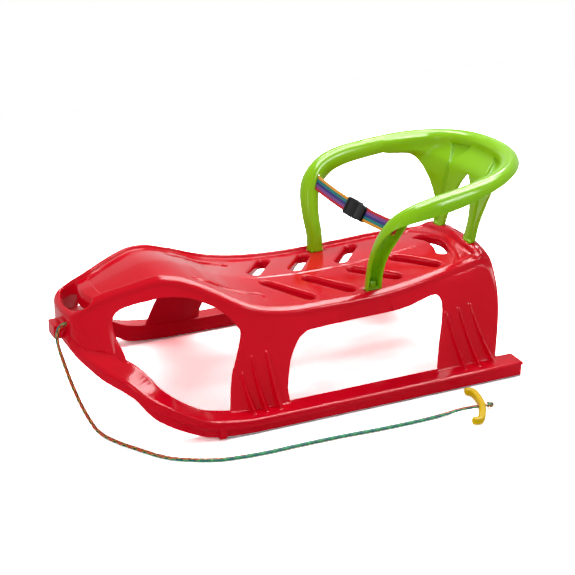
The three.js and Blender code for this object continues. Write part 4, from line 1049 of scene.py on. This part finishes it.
arch = smooth_line([(0, u * CHAIR_WIDTH / 2, w * CHAIR_HEIGHT) for u, w in
                    ARCH[:0:-1] + [(-u, w) for u, w in ARCH]], 5)
cut(backrest, lofted("cutter", [arch + (x, 0, 0) for x in ARCH_CUT]))
fuse(chair, backrest)

# Its legs end on the deck, the rear ones on the slope of the tail, with a plug below each. The
# front ones are closed by a plate, and a web across them stiffens their hollow.
AROUND_LEG, FOOT_INSET, FOOT_PLATE = 0.04, 0.005, 0.003
WEB_LENGTH, WEB_INSET, WEB_TOP = 0.011, 0.009, 0.016
PLUG_INSET, PLUG_DEPTH, PLUG_TOP = 0.008, 0.016, 0.006
for vertex in deck_top.data.vertices:
    vertex.co.z += 2 * PLAY
cut(chair, deck_top)
for foot in front_feet:
    x, y, height, _, width = foot
    cut(chair, foot_block(foot, AROUND_LEG, -AROUND_LEG, PLAY))
    fuse(chair, foot_block(foot, -FOOT_INSET, PLAY, FOOT_PLATE))
    fuse(chair, block(WEB_LENGTH, width - WEB_INSET, height, height + WEB_TOP, x, y))
for foot in feet:
    fuse(chair, foot_block(foot, -PLUG_INSET, -PLUG_DEPTH, PLUG_TOP))

# Slits in the armrests for the belt, and a notch in the rim's crown where each pleat ends
BELT_X, BELT_Z, BELT_SAG, BELT_SPAN = TAIL + 0.224, 0.28805, 0.007, 0.304
BELT_TILT = math.radians(-28)
SLIT_WIDTH, SLIT_REACH, SLIT_HEIGHT = 0.0036, 0.050, 0.029
NOTCH_RADIUS, NOTCH_LENGTH, NOTCH_SIDES, NOTCH_FLAT = 0.0035, 0.036, 20, (0.7, 1, 1)
NOTCH_TILT, NOTCH_TURN = math.radians(78), math.radians(14)
NOTCH_X, NOTCH_Y, NOTCH_Z = TAIL + CHAIR_FRONT - CHAIR_LENGTH - 0.0015, 0.030, 0.3605


def lean_back(piece):
    """Tilt a piece of the belt about the belt's own line, as the armrests lean there."""
    pick(piece)
    bpy.ops.transform.rotate(value=-BELT_TILT, orient_axis="Y", orient_type="GLOBAL",
                             center_override=(BELT_X, 0, BELT_Z))
    bpy.ops.object.transform_apply()


for side in (1, -1):
    slit = block(SLIT_WIDTH, SLIT_REACH, BELT_Z - SLIT_HEIGHT / 2, BELT_Z + SLIT_HEIGHT / 2,
                 BELT_X, side * BELT_SPAN / 2)
    lean_back(slit)
    cut(chair, slit)
    notch = rod(NOTCH_RADIUS, NOTCH_LENGTH, NOTCH_SIDES, (NOTCH_X, side * NOTCH_Y, NOTCH_Z),
                (0, NOTCH_TILT, -side * NOTCH_TURN))
    notch.scale = NOTCH_FLAT
    cut(chair, notch)

melt(chair, facet=0.0014)
soften(chair, rounds=3, keep=0.34)
green = plastic("green plastic", (0.285, 0.60, 0.006), deep=(0.24, 0.54, 0.004),
                worn=(0.55, 0.78, 0.25), roughness=0.16, specular=0.13)
coat(chair, green)
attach(chair, "chair")
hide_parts("chair")

# The lap belt is 25 mm webbing with five coloured stripes woven in along it. Each half is
# stitched to a stop outside its armrest and folded into its end of the buckle.
WEB_WIDTH, WEB_THICKNESS = 0.025, 0.0016
STRIPES = [(0.85, 0.36, 0.01), (0.00, 0.24, 0.22), (0.025, 0.03, 0.24), (0.22, 0.06, 0.30),
           (0.62, 0.005, 0.02)]
WEB_STEPS, WEB_COLUMNS, EDGE_RISE, EDGE_LEFT = 90, 21, 14, 0.35


def sag_at(y):
    return BELT_Z - BELT_SAG * (1 - (2 * y / BELT_SPAN) ** 2)


def web_half(name, start, end, first_up):
    """Half of the belt, with each face's place across the web kept for its stripes."""
    side = np.linspace(-1, 1, WEB_COLUMNS)
    thick = WEB_THICKNESS / 2 * np.minimum(1, (1 - abs(side)) * EDGE_RISE + EDGE_LEFT)
    rings = []
    for y in np.linspace(start, end, WEB_STEPS):
        z = sag_at(y) + side * WEB_WIDTH / 2
        face, back = (np.stack([BELT_X + x, np.full(WEB_COLUMNS, y), z], axis=1)
                      for x in (thick, -thick))
        rings.append(np.concatenate([face, back[::-1]]))
    web = lofted(name, rings)
    place = web.data.attributes.new("web", "FLOAT_VECTOR", "POINT")
    for vertex, item in zip(web.data.vertices, place.data):
        across = (vertex.co.z - sag_at(vertex.co.y)) / WEB_WIDTH
        item.vector = (across * first_up + 0.5, vertex.co.y, 0)
    return web


webbing, tree, surface = new_material("striped webbing", (0.1, 0.1, 0.3), roughness=0.8,
                                      Specular_IOR_Level=0.15, Sheen_Weight=0.04)
# Weave: stripes across the web, and threads that cross over and under each other, with painted
# shade on the threads' relief in the stripes' colour
WARP, WEFT, PAINTED_THREAD_SHADE = 150, 5200, 0.22
woven, out = effect_group("weave", Stripes="Color", Height="Float")
web_place = add_node(woven, "Attribute", {}, attribute_name="web")["Vector"]
place = add_node(woven, "SeparateXYZ", {0: web_place})
bands = woven.nodes.new("ShaderNodeValToRGB")
bands.color_ramp.interpolation = "CONSTANT"
for i, stripe in enumerate(reversed(STRIPES)):
    start = i / len(STRIPES)
    band = bands.color_ramp.elements[i] if i < 2 else bands.color_ramp.elements.new(start)
    band.position = start
    band.color = (*stripe, 1)
feed(bands.inputs["Fac"], place["X"])
warp = maths(woven, "SINE", maths(woven, "MULTIPLY", place["X"], WARP), 0)
weft = maths(woven, "SINE", maths(woven, "MULTIPLY", place["Y"], WEFT), 0)
crossing = maths(woven, "MULTIPLY", warp, weft)
feed(out["Height"], crossing)
# Painted shade: the stripes are darkened towards black in step with the threads' crossings
shade = ramp(woven, crossing, -1, 1, to_high=PAINTED_THREAD_SHADE)
feed(out["Stripes"], mix_colour(woven, shade, bands.outputs["Color"], (0.01, 0.01, 0.02)))
weave = add_node(tree, "Group", {}, node_tree=woven)
fuzz = add_node(tree, "Group", {}, node_tree=fibre)
feed(surface["Base Color"],
     mix_colour(tree, fuzz["Soil"], weave["Stripes"], (0.10, 0.09, 0.10)))
add_bump(tree, surface, weave["Height"], strength=0.5, distance=0.0004)

BUCKLE_Y, SOCKET_LENGTH, PLUG_BASE, WEB_POCKET = 0.021, 0.040, 0.025, 0.012
BELT_END, STOP_LENGTH, STOP_THICKNESS, STOP_HEIGHT, STOP_OUT = 0.005, 0.0055, 0.005, 0.018, 0.0023
socket_end = BUCKLE_Y + (SOCKET_LENGTH - PLUG_BASE) / 2
socket_start = socket_end - SOCKET_LENGTH
plug_start = socket_end + PLAY
plug_end = plug_start + PLUG_BASE
half_span = BELT_SPAN / 2
left_web = web_half("belt_web_left", plug_end - WEB_POCKET + PLAY, half_span + BELT_END, -1)
right_web = web_half("belt_web_right", socket_start + WEB_POCKET - PLAY, -half_span - BELT_END, 1)
for web, side in ((left_web, 1), (right_web, -1)):
    stop = block(STOP_THICKNESS, STOP_LENGTH, BELT_Z - STOP_HEIGHT / 2,
                 BELT_Z + STOP_HEIGHT / 2, BELT_X, side * (half_span + STOP_OUT))
    pick(web, stop)
    bpy.ops.object.join()
    lean_back(web)
    coat(web, webbing)
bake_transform(left_web)
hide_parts("belt_strap_left")
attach(right_web, "chair")
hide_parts("belt_strap_right")

# The buckle is a black side-release one: a flat socket, open at both edges for the prongs, and
# a plug with a middle tongue and two barbed prongs that spring out in the windows.
BUCKLE_HEIGHT, BUCKLE_DEPTH, CAVITY, LATCH, SHELL = 0.032, 0.012, 0.028, 0.012, 0.0022
PRONG_DEPTH, PRONG_WIDTH, TONGUE, BARB = 0.0056, 0.0044, 0.007, 0.0024
CORNER_ROUND, PILLOW, BUCKLE_EDGE, INTO_BASE = 0.004, 0.0014, 0.0003, 0.004
CUT_OPEN, POCKET_PLAY, PLUG_LESS, PRONG_SHARE = 0.02, 0.0024, 0.004, 0.75
# Which edges are rounded: those that run through the plate's depth, and then the sharp ones
ALONG_DEPTH, SHARP = 0.9, 1.2
buckle_z = sag_at(BUCKLE_Y)


def buckle_block(depth, length, height, y, z=buckle_z):
    return block(depth, length, z - height / 2, z + height / 2, BELT_X, y)


def buckle_plate(name, length, height, y):
    """A flat plate with round corners in its outline and pillowed faces."""
    plate = buckle_block(BUCKLE_DEPTH, length, height, y)
    plate.name = plate.data.name = name
    bm = bmesh.new()
    bm.from_mesh(plate.data)
    corners = [e for e in bm.edges
               if abs((e.verts[0].co - e.verts[1].co).normalized().x) > ALONG_DEPTH]
    bmesh.ops.bevel(bm, geom=corners, offset=CORNER_ROUND, segments=5, affect="EDGES",
                    profile=0.5)
    rims = [e for e in bm.edges if len(e.link_faces) == 2 and e.calc_face_angle() > SHARP]
    bmesh.ops.bevel(bm, geom=rims, offset=PILLOW, segments=3, affect="EDGES", profile=0.5)
    bm.to_mesh(plate.data)
    bm.free()
    return plate


def web_pocket(y):
    return buckle_block(WEB_THICKNESS + 2 * PLAY, 2 * WEB_POCKET, WEB_WIDTH + POCKET_PLAY, y)


clear = PRONG_DEPTH + 2 * PLAY
socket = buckle_plate("buckle_socket_shell", SOCKET_LENGTH, BUCKLE_HEIGHT,
                      (socket_start + socket_end) / 2)
cut(socket, buckle_block(clear, CAVITY + CUT_OPEN, BUCKLE_HEIGHT - 2 * SHELL,
                         socket_end - CAVITY / 2 + CUT_OPEN / 2))
cut(socket, buckle_block(clear, LATCH, BUCKLE_HEIGHT + CUT_OPEN,
                         socket_end - CAVITY + LATCH / 2 + SHELL))
cut(socket, web_pocket(socket_start))
# Three fine grooves across the face of the socket, near the web
GROOVE_DEPTH, GROOVE_WIDTH, GROOVE_REACH = 0.0012, 0.0014, 0.011
GROOVE_Y, GROOVE_STEP = 0.008, 0.003
for step in (-1, 0, 1):
    cut(socket, block(GROOVE_DEPTH, GROOVE_WIDTH, buckle_z - GROOVE_REACH,
                      buckle_z + GROOVE_REACH, BELT_X + BUCKLE_DEPTH / 2,
                      socket_start + GROOVE_Y + step * GROOVE_STEP))

plug = buckle_plate("buckle_plug_body", PLUG_BASE, BUCKLE_HEIGHT - PLUG_LESS,
                    (plug_start + plug_end) / 2)
cut(plug, web_pocket(plug_end))
reach = CAVITY - 2 * PLAY
fuse(plug, buckle_block(PRONG_DEPTH, reach + INTO_BASE, TONGUE,
                        plug_start - (reach - INTO_BASE) / 2))
for side in (1, -1):
    arm = buckle_z + side * (BUCKLE_HEIGHT / 2 - SHELL - PLAY - BARB - PRONG_WIDTH / 2)
    start = plug_start - reach * PRONG_SHARE
    fuse(plug, buckle_block(PRONG_DEPTH, reach * PRONG_SHARE + INTO_BASE, PRONG_WIDTH,
                            (start + plug_start + INTO_BASE) / 2, arm))
    fuse(plug, buckle_block(PRONG_DEPTH, LATCH / 2, PRONG_WIDTH + BARB, start + LATCH / 4,
                            arm + side * BARB / 2))
black = plastic("black plastic", (0.004, 0.004, 0.005), deep=(0.003, 0.003, 0.003),
                worn=(0.03, 0.03, 0.03), roughness=0.30, specular=0.12, grain=0.12)
for piece, node, rides in ((socket, "buckle_socket", "chair"),
                           (plug, "buckle_plug", "buckle_plug")):
    change(piece, "BEVEL", width=BUCKLE_EDGE, segments=2, limit_method="ANGLE")
    bpy.ops.object.shade_smooth_by_angle(angle=math.radians(35))
    lean_back(piece)
    coat(piece, black)
    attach(piece, rides)
    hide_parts(node)
